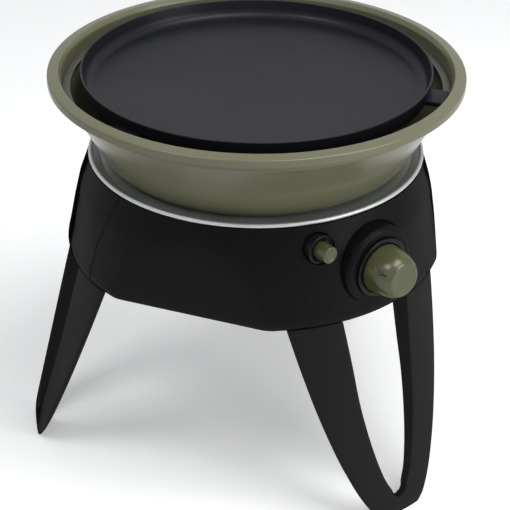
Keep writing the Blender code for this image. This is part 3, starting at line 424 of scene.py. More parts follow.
def brushed(name, colour, roughness, metallic=1.0):
    """Metal brushed round the burner's axis: fine rings that vary slowly along their length."""
    look, shader = new_finish(name, colour, roughness, metallic)
    place = object_place(look)
    shifted = add_node(look, "ShaderNodeVectorMath", [(0, place), (1, (0, -AXIS_Y, 0))], operation="ADD")
    axes = add_node(look, "ShaderNodeSeparateXYZ", [("Vector", shifted.outputs["Vector"])])
    x, y, z = (axes.outputs[name] for name in "XYZ")
    turn = add_node(look, "ShaderNodeMath", [(0, y), (1, x)], operation="ARCTAN2").outputs["Value"]
    flat = add_node(look, "ShaderNodeCombineXYZ", [("X", x), ("Y", y)]).outputs["Vector"]
    out = add_node(look, "ShaderNodeVectorMath", [(0, flat)], operation="LENGTH").outputs["Value"]
    slow = add_node(look, "ShaderNodeMath", [(0, turn), (1, 0.004)], operation="MULTIPLY").outputs["Value"]
    rings = add_node(look, "ShaderNodeCombineXYZ", [("X", out), ("Y", slow), ("Z", z)]).outputs["Vector"]
    lines = add_noise(look, rings, 1800.0, 3.0, 0.7)
    wander = add_noise(look, place, 22.0, 3.0)
    add_tint(look, shader, wander, [c * 0.9 for c in colour], [min(c * 1.06, 1) for c in colour])
    rough = add_range(look, mixed(look, wander, lines, 0.8), roughness - 0.08, roughness + 0.12, 0.6, 1.3)
    look.node_tree.links.new(rough, shader.inputs["Roughness"])
    add_bump(look, shader, lines, 0.02 * MM, 0.4)
    return look


def cast(name, colour, roughness, metallic):
    """Sand-cast or turned metal: a coarse skin with darker hollows."""
    look, shader = new_finish(name, colour, roughness, metallic)
    place = object_place(look)
    skin = add_noise(look, place, 520.0, 5.0, 0.65)
    wander = add_noise(look, place, 30.0, 3.0)
    add_tint(look, shader, mixed(look, wander, skin, 0.4), [c * 0.72 for c in colour], colour)
    rough = add_range(look, skin, roughness - 0.06, roughness + 0.08)
    look.node_tree.links.new(rough, shader.inputs["Roughness"])
    add_bump(look, shader, skin, 0.06 * MM, 0.6)
    return look


black_moulded = moulded("black moulded plastic", (0.0034, 0.0034, 0.0037), 0.4, sheen=0.08)
leg_moulded = moulded("black leg plastic", (0.0072, 0.0072, 0.0077), 0.46, sheen=0.1)
gloss_black = moulded("smooth black plastic", (0.005, 0.005, 0.0055), 0.3, 1600.0, 0.02, sheen=0.16)
olive_moulded = moulded("olive moulded plastic", (0.068, 0.073, 0.030), 0.2, 1300.0, 0.02)
olive_enamel = enamelled("olive enamel", (0.138, 0.137, 0.084), 0.22, sheen=0.4)
plate_coating = coated("non-stick coating", (0.0085, 0.0088, 0.012), (0.034, 0.034, 0.040), 0.32, 0.155)
ring_steel = brushed("dull ring steel", (0.10, 0.10, 0.09), 0.55, 0.4)
dish_steel = brushed("brushed dish steel", (0.56, 0.585, 0.585), 0.46, 0.75)
plain_steel = cast("plated steel", (0.55, 0.55, 0.56), 0.32, 1.0)
cast_metal = cast("cast aluminium", (0.36, 0.35, 0.34), 0.55, 1.0)
turned_brass = cast("turned brass", (0.62, 0.45, 0.2), 0.32, 1.0)
glazed_ceramic = enamelled("glazed ceramic", (0.74, 0.72, 0.66), 0.25)
lead_rubber = moulded("lead insulation", (0.02, 0.02, 0.021), 0.5)


def dress(made, finish, slot, body, *nodes):
    """Gives a piece its finish, its body and the nodes that it stands for."""
    made.data.materials.clear()
    made.data.materials.append(finish)
    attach(made, body)
    if nodes:
        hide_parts(*nodes)
    return made


# Griddle plate, ring and pan

GRIDDLE_R = 150.1 * MM
GRIDDLE_DEPTH = 15.4 * MM  # its flat under its rim
GRIDDLE_T = 4 * MM
LUG_AZIMUTHS = (-53.0, 67.0, 187.0)
LUG_FROM, LUG_TO = 146.5 * MM, 163.4 * MM
LUG_HALF = 13 * MM
LUG_UNDER_LIP = 8.5 * MM
CLEAR = 0.3 * MM  # between pieces that rest on each other


def make_griddle():
    """A round plate: a flat middle, a curved wall with a rounded rim, and three lugs."""
    top = plate_high.z
    flat = top - GRIDDLE_DEPTH
    outline = rounded(
        [
            (0, flat, 0),
            (GRIDDLE_R - 3.9 * MM, flat, 8.5 * MM),
            (GRIDDLE_R - 2.2 * MM, top, 0.9 * MM),
            (GRIDDLE_R, top, 0.9 * MM),
            (GRIDDLE_R - 0.9 * MM, top - 3 * MM, 1.5 * MM),
            (GRIDDLE_R - 2.9 * MM, flat, 4 * MM),
            (GRIDDLE_R - 9.1 * MM, flat - GRIDDLE_T, 3 * MM),
            (0, flat - GRIDDLE_T, 0),
        ]
    )
    plate = spun("griddle", outline, ROUND)
    for azimuth in LUG_AZIMUTHS:
        shape_with(plate, make_lug(azimuth), "UNION")
    smooth(plate, 28)
    return dress(plate, plate_coating, "black_coating", "griddle", "griddle_plate")


def make_lug(azimuth):
    """A block with rounded corners that stands on the ring."""
    low = (LUG_FROM, -LUG_HALF, RING_TOP + CLEAR)
    high = (LUG_TO, LUG_HALF, LIP - LUG_UNDER_LIP)
    lug = block("lug", low, high)

    def outer_corner(edge):
        return abs(edge.verts[0].co.z - edge.verts[1].co.z) > MM and middle(edge).x > high[0] - MM

    edit(lug)
    pick(lug, outer_corner, "edges")
    bpy.ops.mesh.bevel(offset=4 * MM, segments=6)
    pick(lug, lambda e: min(v.co.z for v in e.verts) > high[2] - 0.1 * MM, "edges")
    bpy.ops.mesh.bevel(offset=0.8 * MM, segments=3)
    bpy.ops.mesh.select_all(action="SELECT")
    turn = math.radians(azimuth)
    bpy.ops.transform.rotate(value=-turn, orient_axis="Z", center_override=(0, AXIS_Y, 0))
    leave()
    return lug


RING_W = 6.6 * MM


def make_ring():
    low, high = ring_low.z, ring_high.z
    outer = (ring_high.x - ring_low.x) / 2
    inner = outer - RING_W
    corners = [(inner, low, 0.3), (outer, low, 0.3), (outer, high, 0.3), (inner, high, 0.3)]
    ring = spun("ledge_ring", rounded([(r, z, f * MM) for r, z, f in corners], 3), ROUND)
    return dress(ring, ring_steel, "grey_steel", "pan", "griddle_ring")


PAN_T = 1.2 * MM
PAN_LEAN = math.radians(28.8)  # of its cone, from upright
PAN_FOOT_R = 134.4 * MM
PAN_FOOT = 9.85 * MM  # height of the cone's lower end above the pan's floor
NECK_R = 166.4 * MM
COLLAR_R, COLLAR_H = 60.0 * MM, 20.0 * MM
LIP_DROP = 6.5 * MM  # the lip's edge is turned down this far


def pan_cone(height):
    return PAN_FOOT_R + (height - PAN_FLOOR - PAN_FOOT) * math.tan(PAN_LEAN)


def make_pan():
    """Pressed sheet: collar, floor, cone, shoulder, and a wide lip turned down at its edge."""
    step = ring_low.z - CLEAR
    under = step - PAN_T
    wall = PAN_T / math.cos(PAN_LEAN)
    floor = PAN_FLOOR + PAN_T
    collar_in, collar_top = COLLAR_R - PAN_T, PAN_FLOOR + COLLAR_H
    neck_in = NECK_R - PAN_T
    top = LIP + MOUTH_RISE
    corners = [
        (collar_in, PAN_FLOOR, 0.9),
        (collar_in, collar_top, 0.5),
        (COLLAR_R, collar_top, 0.5),
        (COLLAR_R, floor, 1.5),
        (pan_cone(floor) - wall, floor, 17.8),
        (pan_cone(step) - wall, step, 0.8),
        (neck_in, step, 1.0),
        (neck_in + 0.4 * MM, LIP - 2.5 * MM, 3.0),
        (NECK_R + 1.6 * MM, top, 0.7),
        (LIP_R, LIP + 0.2 * MM, 1.6),
        (LIP_R, LIP - LIP_DROP, 0.5),
        (LIP_R - PAN_T, LIP - LIP_DROP, 0.4),
        (LIP_R - PAN_T, LIP - 1.2 * MM, 0.8),
        (NECK_R + 2.0 * MM, LIP + 0.5 * MM, 1.0),
        (NECK_R, LIP - 3.4 * MM, 1.5),
        (NECK_R, under, 1.2),
        (pan_cone(under) + 0.2 * MM, under, 1.0),
        (pan_cone(PAN_FLOOR), PAN_FLOOR, 19.0),
    ]
    outline = rounded([(r, z, f * MM) for r, z, f in corners], 6)
    pan = spun("enamelled_pan", outline, ROUND, angle=40)
    return dress(pan, olive_enamel, "olive_enamel", "pan", "fat_pan")


# Burner dish

BEAD_R = 1.9 * MM
SHEET = MM
LEDGE_DEPTH, WELL_DEPTH = 3 * MM, 34 * MM  # under the bead's middle
DISH_HUB = 14 * MM
WELL_R = 85 * MM
LEDGE_IN, LEDGE_OUT = 106 * MM, 135 * MM
BEAD_FOOT = 142.2 * MM
TIE_BOLTS = [(62 * MM, azimuth, 2.3 * MM) for azimuth in (-30, 90, 210)]  # the last is the hole
BURNER_SCREWS = [(20.5 * MM, azimuth, 1.8 * MM) for azimuth in (30, 150)]
ELECTRODE = (-49 * MM, 13 * MM)
ELECTRODE_HOLE = 3.5 * MM


def make_dish():
    """Steel bowl: a rolled bead, a slope, a ledge for the pan and a well for the burner."""
    bead = (dish_high.x - BEAD_R, dish_high.z - BEAD_R)
    ledge, well = bead[1] - LEDGE_DEPTH, bead[1] - WELL_DEPTH
    inside = rounded(
        [
            (DISH_HUB, well - SHEET, 0),
            (DISH_HUB, well, 0),
            (WELL_R, well, 4 * MM),
            (LEDGE_IN, ledge, 3 * MM),
            (LEDGE_OUT, ledge, 4 * MM),
            (BEAD_FOOT, bead[1] + 0.4 * MM, 0),
        ]
    )
    roll = arc(bead, BEAD_R, 165, -120, 18)
    under = rounded(
        [
            (BEAD_FOOT, bead[1] - 1.6 * MM, 0),
            (LEDGE_OUT, ledge - SHEET, 3 * MM),
            (LEDGE_IN + SHEET / 2, ledge - SHEET, 3 * MM),
            (WELL_R + SHEET, well - SHEET, 4 * MM),
            (DISH_HUB, well - SHEET, 0),
        ]
    )
    dish = spun("steel_dish", inside + roll + under[1:-1], ROUND, angle=40)
    for radius, azimuth, hole in TIE_BOLTS + BURNER_SCREWS:
        x, y, z = polar(radius, azimuth)
        drill(dish, hole, well - 4 * SHEET, well + 4 * SHEET, x, y)
    drill(dish, ELECTRODE_HOLE, well - 4 * SHEET, well + 4 * SHEET, *ELECTRODE)
    smooth(dish, 40)
    return dress(dish, dish_steel, "bright_steel", "base", "burner_dish")


# Housing: height above its lower edge, radius over the legs, distance of the flats, in mm
HOUSING = [
    (0.0, 163.4, 148.7),
    (2.0, 165.2, 149.6),
    (6.0, 166.0, 150.0),
    (17.5, 163.6, 150.2),
    (28.5, 161.4, 150.1),
    (39.5, 159.2, 150.0),
    (50.5, 156.6, 149.8),
    (61.5, 154.0, 149.6),
    (71.5, 150.4, 148.6),
    (79.5, 147.6, 147.0),
    (85.5, 145.6, 145.5),
]
DRUM_ROWS = [0, 0.5, 1.2, 2, 3.5, 6, 9, 13, 17.5, 23, 28.5, 34, 39.5, 45]
DRUM_ROWS += [50.5, 56, 61.5, 66.5, 71.5, 75.5, 79.5, 83, 84.8, 85.5]
CORNER_SOFT = 2.4 * MM
PANEL_EDGE = [(0.0, 23.0), (13.5, 23.0), (37.5, 24.4), (85.5, 30.3)]  # degrees from the leg
PANEL_STEP = 0.6 * MM
PANEL_STEP_TURN = 0.35
CORNER_TO = 44.0  # the flats' own columns start at this angle
PANEL_FACES, CORNER_FACES, FLAT_FACES = 26, 26, 8
FLAT = 150.0 * MM
WALL = 3.0 * MM


def drum_columns(height):
    """Angles from the leg of one third of the drum's columns, and how proud each stands."""
    edge = read_off(PANEL_EDGE, height)
    start, turn = edge + PANEL_STEP_TURN, CORNER_TO
    columns = [(edge * (2 * i / PANEL_FACES - 1), PANEL_STEP) for i in range(PANEL_FACES + 1)]
    columns += [(start + (turn - start) * i / CORNER_FACES, 0.0) for i in range(CORNER_FACES)]
    columns += [(turn + (120 - 2 * turn) * i / FLAT_FACES, 0.0) for i in range(FLAT_FACES)]
    columns += [(120 - turn + (turn - start) * i / CORNER_FACES, 0.0) for i in range(CORNER_FACES + 1)]
    return columns


def drum_radius(turn, height):
    """Radius at an angle from the nearest leg: round over the leg, flat between, a soft corner."""
    over_leg = smooth_read([row[:2] for row in HOUSING], height) * MM
    apothem = smooth_read([(row[0], row[2]) for row in HOUSING], height) * MM
    flat = apothem / math.cos(math.radians(60 - min(abs(turn), 60)))
    spread = max(CORNER_SOFT - abs(over_leg - flat), 0.0) / CORNER_SOFT
    return min(over_leg, flat) - spread * spread * CORNER_SOFT / 4


def drum(name, inset=0.0, closed=False):
    """A circle extruded from row to row, each vertex then put on the housing's own section."""
    deselect()
    count = 3 * len(drum_columns(0))
    bpy.ops.mesh.primitive_circle_add(vertices=count, radius=FLAT, location=(0, 0, 0))
    made = settle(named(name))
    edit(made)
    bpy.ops.mesh.select_all(action="SELECT")
    for low, high in zip(DRUM_ROWS, DRUM_ROWS[1:]):
        bpy.ops.mesh.extrude_region_move(TRANSFORM_OT_translate={"value": (0, 0, (high - low) * MM)})
    leave()
    for vert in made.data.vertices:
        index = round(math.atan2(vert.co.y, vert.co.x) / math.tau * count) % count
        height = min(DRUM_ROWS, key=lambda row: abs(row * MM - vert.co.z))
        third, column = divmod(index, count // 3)
        turn, rise = drum_columns(height)[column]
        near = turn if turn <= 60 else turn - 120
        radius = drum_radius(near, height) + rise - inset
        vert.co = polar(radius, LEG_AZIMUTHS["front"] + 120 * third + turn, STAND_H + height * MM)
    if closed:
        edit(made)
        bpy.ops.mesh.select_non_manifold()
        bpy.ops.mesh.fill_holes(sides=0)
        bpy.ops.mesh.select_all(action="SELECT")
        bpy.ops.mesh.normals_make_consistent(inside=False)
        leave()
    made.location.y = AXIS_Y
    return settle(made)


def walled_drum():
    """The drum's skin and a second one inside it, bridged at both ends."""
    shell, inner = drum("drum_housing"), drum("inner", WALL)
    edit(inner)
    bpy.ops.mesh.select_all(action="SELECT")
    bpy.ops.mesh.flip_normals()
    leave()
    hold(shell)
    inner.select_set(True)
    bpy.ops.object.join()
    edit(shell)
    for end in (STAND_H, HOUSING_TOP):
        pick(shell, lambda e: all(abs(v.co.z - end) < 0.01 * MM for v in e.verts), "edges")
        bpy.ops.mesh.bridge_edge_loops()
    bpy.ops.mesh.select_all(action="SELECT")
    bpy.ops.mesh.normals_make_consistent(inside=False)
    leave()
    return shell


SEAT = LEG_R - 1.6 * MM  # the knob's seat, from the burner's axis
SEAT_R = 26.5 * MM
SEAT_WALL = 3.2 * MM
BOSS_R = 35.0 * MM
BOSS_FLARE = 3 * MM
BOSS_RIM = SEAT + 1.5 * MM
BOSS_EDGE = 5 * MM
STEM_HOLE = 3.2 * MM
IGNITER_SEAT = LEG_R - 26.0 * MM
IGNITER_R = 13.2 * MM
IGNITER_WALL = 4.6 * MM
BARREL_HOLE = 8.9 * MM
FRONT = LEG_R + 6.0 * MM  # in front of all of the panel
COVER_TOP = STAND_H + 6.5 * MM
MOUTH_EDGE = 0.5 * MM


def forward_tool(name, corners, x, height, steps=96):
    """A turned tool whose own axis faces forward through the front panel."""
    return spun(name, rounded(corners), steps, (x, AXIS_Y, height), forward=True)


def add_backing(shell, corners, x, height):
    """Thickens the front panel from inside behind a sunk seat."""
    backing = forward_tool("backing", corners, x, height)
    shape_with(backing, drum("core", WALL / 2, closed=True), "INTERSECT")
    clear = block("clear", (-FRONT, -2 * FRONT, 0), (FRONT, 0, COVER_TOP))
    shape_with(backing, clear, "DIFFERENCE")
    shape_with(shell, backing, "UNION")


def open_knob_seat(shell):
    """A level round seat in a boss that stands proud of the panel and is open behind."""
    low, back = SEAT - BOSS_R, SEAT - SEAT_WALL
    corners = [(0, low, 0), (BOSS_R + BOSS_FLARE, low, 0), (BOSS_R, BOSS_RIM, BOSS_EDGE), (0, BOSS_RIM, 0)]
    boss = forward_tool("boss", corners, 0, KNOB_Z)
    shape_with(boss, drum("core", WALL / 2, closed=True), "DIFFERENCE")
    shape_with(shell, boss, "UNION")
    inner = BOSS_R - SEAT_WALL
    hollow = [(0, low - WALL, 0), (inner, low - WALL, 0), (inner, back, 2 * MM), (0, back, 0)]
    shape_with(shell, forward_tool("hollow", hollow, 0, KNOB_Z), "DIFFERENCE")
    recess = [(0, SEAT, 0), (SEAT_R, SEAT, 0), (SEAT_R, FRONT, 0), (0, FRONT, 0)]
    shape_with(shell, forward_tool("recess", recess, 0, KNOB_Z), "DIFFERENCE")
    bore = [(0, back - WALL, 0), (STEM_HOLE, back - WALL, 0), (STEM_HOLE, FRONT, 0), (0, FRONT, 0)]
    shape_with(shell, forward_tool("bore", bore, 0, KNOB_Z, 32), "DIFFERENCE")


def open_igniter_seat(shell):
    """A level round seat, sunk in the panel, with a hole for the barrel."""
    back, radius = IGNITER_SEAT - IGNITER_WALL, IGNITER_R + SEAT_WALL
    corners = [(0, back, 0), (radius, back, 0), (radius, FRONT, 0), (0, FRONT, 0)]
    add_backing(shell, corners, IGNITER_X, IGNITER_Z)
    recess = [(0, IGNITER_SEAT, 0), (IGNITER_R, IGNITER_SEAT, 0), (IGNITER_R, FRONT, 0), (0, FRONT, 0)]
    shape_with(shell, forward_tool("recess", recess, IGNITER_X, IGNITER_Z), "DIFFERENCE")
    low, high = IGNITER_SEAT - 8 * MM, IGNITER_SEAT + 8 * MM
    bore = [(0, low, 0), (BARREL_HOLE, low, 0), (BARREL_HOLE, high, 0), (0, high, 0)]
    shape_with(shell, forward_tool("bore", bore, IGNITER_X, IGNITER_Z, 48), "DIFFERENCE")


def round_mouths(shell):
    """Softens the edges where the seats open in the panel."""
    edit(shell)

    def mouth(edge):
        spot = middle(edge)
        if spot.y > AXIS_Y - IGNITER_SEAT - WALL or fold_angle(edge) < math.radians(24):
            return False
        to_knob = math.hypot(spot.x, spot.z - KNOB_Z)
        to_igniter = math.hypot(spot.x - IGNITER_X, spot.z - IGNITER_Z)
        at_rim = spot.y < AXIS_Y - BOSS_RIM + 0.3 * MM
        return at_rim and abs(to_knob - SEAT_R) < MM or to_igniter < IGNITER_R + MM

    pick(shell, mouth, "edges")
    bpy.ops.mesh.bevel(offset=MOUTH_EDGE, segments=3, clamp_overlap=True)
    leave()


def make_housing():
    shell = walled_drum()
    open_knob_seat(shell)
    open_igniter_seat(shell)
    round_mouths(shell)
    smooth(shell, SMOOTH)
    return dress(shell, black_moulded, "black_plastic", "base", "housing_shell")


# Legs: share of the height with half the width, or half the slot's width, in mm
LEG_H = STAND_H - CLEAR
LEG_HALF = [(0.0, 21.8), (0.04, 28.0), (0.1, 35.4), (0.2, 44.2)]
LEG_HALF += [(0.37, 55.6), (0.585, 66.4), (0.8, 74.6), (1.0, 80.8)]
SLOT_HALF = [(0.12, 7.2), (0.2, 14.4), (0.37, 22.8), (0.585, 29.2), (0.8, 32.2), (1.0, 35.5)]
SLOT_END = 0.08
ACROSS, DOWN = 8, 72
LEG_LEAN = math.radians(13.2)  # outer face, from upright
FOOT_R = 206.0 * MM  # the outer face turns upright at this radius
LEG_BACK = 139.6 * MM  # flat inner face, at the leg's top
LEG_BACK_LEAN = math.radians(18.5)
LEG_EDGE = 1.3 * MM


def slot_half(share):
    """Half the slot's width: a smooth curve, round at its lower end, nothing below it."""
    first, width = SLOT_HALF[0]
    if share >= first:
        return smooth_read(SLOT_HALF, share) * MM
    rise = max((share - SLOT_END) / (first - SLOT_END), 0.0)
    return width * MM * math.sqrt(rise * (2 - rise))


def leg_front_face(height, x):
    radius = min(LEG_R + (STAND_H - height) * math.tan(LEG_LEAN), FOOT_R)
    return math.sqrt(radius**2 - x**2)


def leg_back_face(height):
    return LEG_BACK + (STAND_H - height) * math.tan(LEG_BACK_LEAN)


def make_leg():
    """Half a leg shaped from a grid, given its back, edges rounded, then mirrored."""
    deselect()
    bpy.ops.mesh.primitive_grid_add(x_subdivisions=ACROSS, y_subdivisions=DOWN, size=2, location=(0, 0, 0))
    leg = named("loop_leg")
    for vert in leg.data.vertices:
        across, down = (vert.co.x + 1) / 2, (vert.co.y + 1) / 2
        share = down * down * (1.35 - 0.35 * down)
        slot, outer = slot_half(share), smooth_read(LEG_HALF, share) * MM
        x, z = slot + (outer - slot) * across, share * LEG_H
        vert.co = (x, -leg_front_face(z, x), z)
    edit(leg)
    bpy.ops.mesh.select_all(action="SELECT")
    bpy.ops.mesh.extrude_region_move(TRANSFORM_OT_translate={"value": (0, 0, 0)})
    leave()
    for vert in leg.data.vertices:
        if vert.select:
            vert.co.y = -leg_back_face(vert.co.z)
    edit(leg)
    pick(leg, lambda f: all(v.co.x < 0.001 * MM for v in f.verts))
    bpy.ops.mesh.delete(type="FACE")
    bpy.ops.mesh.select_all(action="SELECT")
    bpy.ops.mesh.normals_make_consistent(inside=False)
    pick(leg, lambda e: fold_angle(e) > math.radians(40) and e.is_manifold, "edges")
    bpy.ops.mesh.bevel(offset=LEG_EDGE, segments=3)
    leave()
    apply_modifier(leg, "MIRROR", use_clip=True, merge_threshold=0.02 * MM)
    leg.location.y = AXIS_Y
    return settle(leg)


HINGE_R = 121.0 * MM
HINGE_Z = STAND_H + 13.0 * MM
KNUCKLE_R = 6.5 * MM
PIN_HOLE = 2.8 * MM
NECK_AT, NECK_HALF = 52.5 * MM, 13.5 * MM  # from the leg's middle, and half its width
NECK_WALL = 143.1 * MM  # the neck's upright face


def make_neck(sign):
    """A flat arm from the leg's top to its knuckle, with a bore for the pin."""
    out, top = NECK_WALL - HINGE_R, STAND_H - HINGE_Z
    outline = arc((0, 0), KNUCKLE_R, 30, 200, 12)
    outline += [(12.6 * MM, top - 1.5 * MM), (20.1 * MM, top - 12 * MM), (24.6 * MM, top - 12 * MM)]
    outline += [(out, top - 1.5 * MM), (out, top + 3.5 * MM)]
    curve = bpy.data.curves.new("neck", "CURVE")
    curve.dimensions = "2D"
    curve.fill_mode = "BOTH"
    curve.extrude = NECK_HALF
    for points in (outline, arc((0, 0), PIN_HOLE, 0, 345, 23)):
        spline = curve.splines.new("POLY")
        spline.points.add(len(points) - 1)
        spline.use_cyclic_u = True
        for point, place in zip(spline.points, points):
            point.co = (*place, 0, 1)
    neck = bpy.data.objects.new("neck", curve)
    bpy.context.scene.collection.objects.link(neck)
    hold(neck)
    bpy.ops.object.convert(target="MESH")
    neck = face_out(bpy.context.object)
    edit(neck)
    pick(neck, lambda e: fold_angle(e) > math.radians(50) and middle(e).x < 18 * MM, "edges")
    bpy.ops.mesh.bevel(offset=0.6 * MM, segments=2)
    leave()
    neck.rotation_euler = (math.pi / 2, 0, -math.pi / 2)
    settle(neck)
    neck.location = (sign * NECK_AT, AXIS_Y - HINGE_R, HINGE_Z)
    return settle(neck)


def make_legs():
    leg = make_leg()
    for sign in (-1, 1):
        shape_with(leg, make_neck(sign), "UNION")
    face_out(leg)
    for side, azimuth in LEG_AZIMUTHS.items():
        made = copy_of(leg, side + "_loop_leg")
        edit(made)
        bpy.ops.mesh.select_all(action="SELECT")
        turn = math.radians(azimuth - LEG_AZIMUTHS["front"])
        bpy.ops.transform.rotate(value=-turn, orient_axis="Z", center_override=(0, AXIS_Y, 0))
        leave()
        smooth(made, 35)
        dress(made, leg_moulded, "black_plastic", side + "_leg", "leg_" + side)
    bpy.data.objects.remove(leg, do_unlink=True)


# Knob and igniter


# Knob: share of its length and radius in mm
KNOB_SIDE = [
    (0.02, 21.2),
    (0.17, 20.8),
    (0.36, 20.4),
    (0.51, 20.0),
    (0.62, 19.5),
    (0.73, 18.7),
    (0.85, 17.4),
    (0.94, 15.6),
    (1.0, 13.8),
]
# The rim of its face: radius, how far behind the front
KNOB_FACE = [(14.9, 0.55), (14.2, 0.24), (13.5, 0.06), (12.9, 0.0), (12.2, 0.08), (11.2, 0.3), (9.0, 0.42)]
NOTCH_TURN = 154.0  # degrees from +X, seen from the front
NOTCH_FROM, NOTCH_TO = 0.34, 0.86  # shares of the knob's length
NOTCH_HALF, NOTCH_DEPTH = 4.0, 3.5


def make_knob():
    """A round knob with a soft shoulder, a flat face and one notch that marks its turn."""
    base, face = AXIS_Y - knob_high.y, AXIS_Y - knob_low.y
    length = face - base
    foot = KNOB_SIDE[0][1] * MM
    outline = [(0, base), (foot - 0.7 * MM, base), (foot - 0.2 * MM, base + 0.15 * MM)]
    for step in range(2, 48):
        share = step / 50
        outline.append((smooth_read(KNOB_SIDE, share) * MM, base + share * length))
    outline += [(radius * MM, face - sink * MM) for radius, sink in KNOB_FACE]
    outline.append((0, face - KNOB_FACE[-1][1] * MM))
    knob = spun("olive_knob", outline, MIDDLING, (0, AXIS_Y, KNOB_Z), forward=True)
    shape_with(knob, make_notch(base, length), "DIFFERENCE")
    smooth(knob, SMOOTH)
    return dress(knob, olive_moulded, "olive_plastic", "knob", "control_knob")


def make_notch(base, length):
    """A wedge that points at the knob's face, with a floor that sinks towards its point."""
    deselect()
    bpy.ops.mesh.primitive_cylinder_add(vertices=3, radius=1, depth=1)
    tool = settle(named("notch"))
    shallow = (smooth_read(KNOB_SIDE, NOTCH_FROM) - 0.1) * MM
    deep = (smooth_read(KNOB_SIDE, NOTCH_TO) - NOTCH_DEPTH) * MM
    for vert in tool.data.vertices:
        tip = vert.co.y > 0.9
        side = 0 if tip else math.copysign(NOTCH_HALF * MM, vert.co.x)
        out = (deep if tip else shallow) if vert.co.z < 0 else KNOB_SIDE[0][1] * 1.3 * MM
        vert.co = (side, -(base + (NOTCH_TO if tip else NOTCH_FROM) * length), out)
    tool.rotation_euler.y = math.radians(90 - NOTCH_TURN)
    tool.location = (0, AXIS_Y, KNOB_Z)
    return face_out(settle(tool))


BEZEL_W = 4.2 * MM
BUTTON_GAP = 0.4 * MM


def make_bezel():
    """The ring round the knob, on the boss's seat."""
    low, high = AXIS_Y - bezel_high.y, AXIS_Y - bezel_low.y
    outer = (bezel_high.x - bezel_low.x) / 2
    inner = outer - BEZEL_W
    corners = [(inner, low, 0.3), (outer, low, 0.3), (outer, high, 1.1), (inner, high, 0.5)]
    outline = rounded([(r, z, f * MM) for r, z, f in corners])
    ring = spun("knob_ring", outline, MIDDLING, (0, AXIS_Y, KNOB_Z), forward=True)
    return dress(ring, gloss_black, "black_plastic", "base", "knob_bezel")


def make_igniter():
    """The igniter's collar, with a sunk inner ring, and its button with a dished face."""
    at = (IGNITER_X, AXIS_Y, IGNITER_Z)
    low, high = AXIS_Y - collar_high.y, AXIS_Y - collar_low.y
    outer, radius = (collar_high.x - collar_low.x) / 2, (button_high.x - button_low.x) / 2
    bore = radius + BUTTON_GAP
    corners = [
        (bore, low, 0.2),
        (outer, low, 0.2),
        (outer, high, 0.9),
        (outer - 2.4 * MM, high, 0.4),
        (outer - 3.0 * MM, high - 1.0 * MM, 0.3),
        (bore, high - 1.4 * MM, 0.3),
    ]
    outline = rounded([(r, z, f * MM) for r, z, f in corners])
    collar = spun("igniter_ring", outline, SMALL, at, forward=True)
    dress(collar, gloss_black, "black_plastic", "base", "igniter_collar")
    low, high = AXIS_Y - button_high.y, AXIS_Y - button_low.y
    corners = [
        (0, low, 0),
        (radius, low, 0.3),
        (radius, high, 0.9),
        (radius - 1.6 * MM, high, 0.5),
        (radius - 2.4 * MM, high - 0.35 * MM, 0.6),
        (0, high - 0.35 * MM, 0),
    ]
    outline = rounded([(r, z, f * MM) for r, z, f in corners])
    button = spun("push_button", outline, SMALL, at, forward=True)
    dress(button, olive_moulded, "olive_plastic", "button", "igniter_button")


# Burner

BURNER_WALL = 3 * MM
THROAT_R = 9.3 * MM
FLANGE_R = 27 * MM
CUP_DEPTH = 16 * MM
PORTS, PORT_HALF, PORT_DEPTH = 18, 1.5 * MM, 5 * MM
SPIGOT_R = 40.6 * MM


def make_burner():
    """The cast cup on its stem and flange, with ports round its rim, and the cap over it."""
    base, top = burner_low.z, burner_high.z
    outer = (burner_high.x - burner_low.x) / 2
    wall, bore = BURNER_WALL, THROAT_R
    stem = bore + wall
    cup = top - CUP_DEPTH
    corners = [
        (bore, base, 0.3),
        (FLANGE_R, base, 0.6),
        (FLANGE_R, base + wall, 0.8),
        (stem, base + wall, 2.0),
        (stem, cup - wall, 4.0),
        (outer - wall, cup, 3.0),
        (outer, cup + wall, 3.0),
        (outer, top, 0.5),
        (outer - wall, top, 0.4),
        (outer - wall, cup + wall, 2.0),
        (bore, cup + wall, 1.0),
    ]
    body = spun("cast_burner", rounded([(r, z, f * MM) for r, z, f in corners], 4))
    for index in range(PORTS):
        low = (outer - 2 * wall, -PORT_HALF, top - PORT_DEPTH)
        slot = block("port", low, (outer + wall, PORT_HALF, top + wall), math.tau * index / PORTS)
        shape_with(body, slot, "DIFFERENCE")
    for radius, azimuth, hole in BURNER_SCREWS:
        x, y, z = polar(radius, azimuth)
        drill(body, hole, base - wall, base + 2 * wall, x, y)
    smooth(body, 35)
    dress(body, cast_metal, "cast_metal", "base", "burner_body")
    low, high = cap_low.z, cap_high.z
    rim, seat = (cap_high.x - cap_low.x) / 2, top + CLEAR
    corners = [
        (0, low, 0),
        (SPIGOT_R / 2, low, 3.0),
        (SPIGOT_R, seat, 0.5),
        (rim, seat, 0.6),
        (rim, seat + 2 * MM, 1.6),
        (rim - 2 * MM, seat + 4 * MM, 2.0),
        (8 * MM, high, 3.0),
        (0, high, 0),
    ]
    cap = spun("cast_cap", rounded([(r, z, f * MM) for r, z, f in corners], 4))
    dress(cap, cast_metal, "cast_metal", "base", "burner_cap")


def dress_frame():
    """Finishes for the CAD nodes that stay."""
    finishes = {
        black_moulded: ["base_cover", "igniter_body", "igniter_nut"],
        lead_rubber: ["ignition_lead"],
        glazed_ceramic: ["electrode_sleeve"],
        turned_brass: ["gas_jet", "valve_body", "gas_inlet", "valve_stem"],
    }
    chosen = {node: finish for finish, nodes in finishes.items() for node in nodes}
    for name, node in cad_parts.items():
        if not node.hide_render:
            for slot in node.material_slots:
                slot.material = chosen.get(name, plain_steel)


# Light, floor and camera


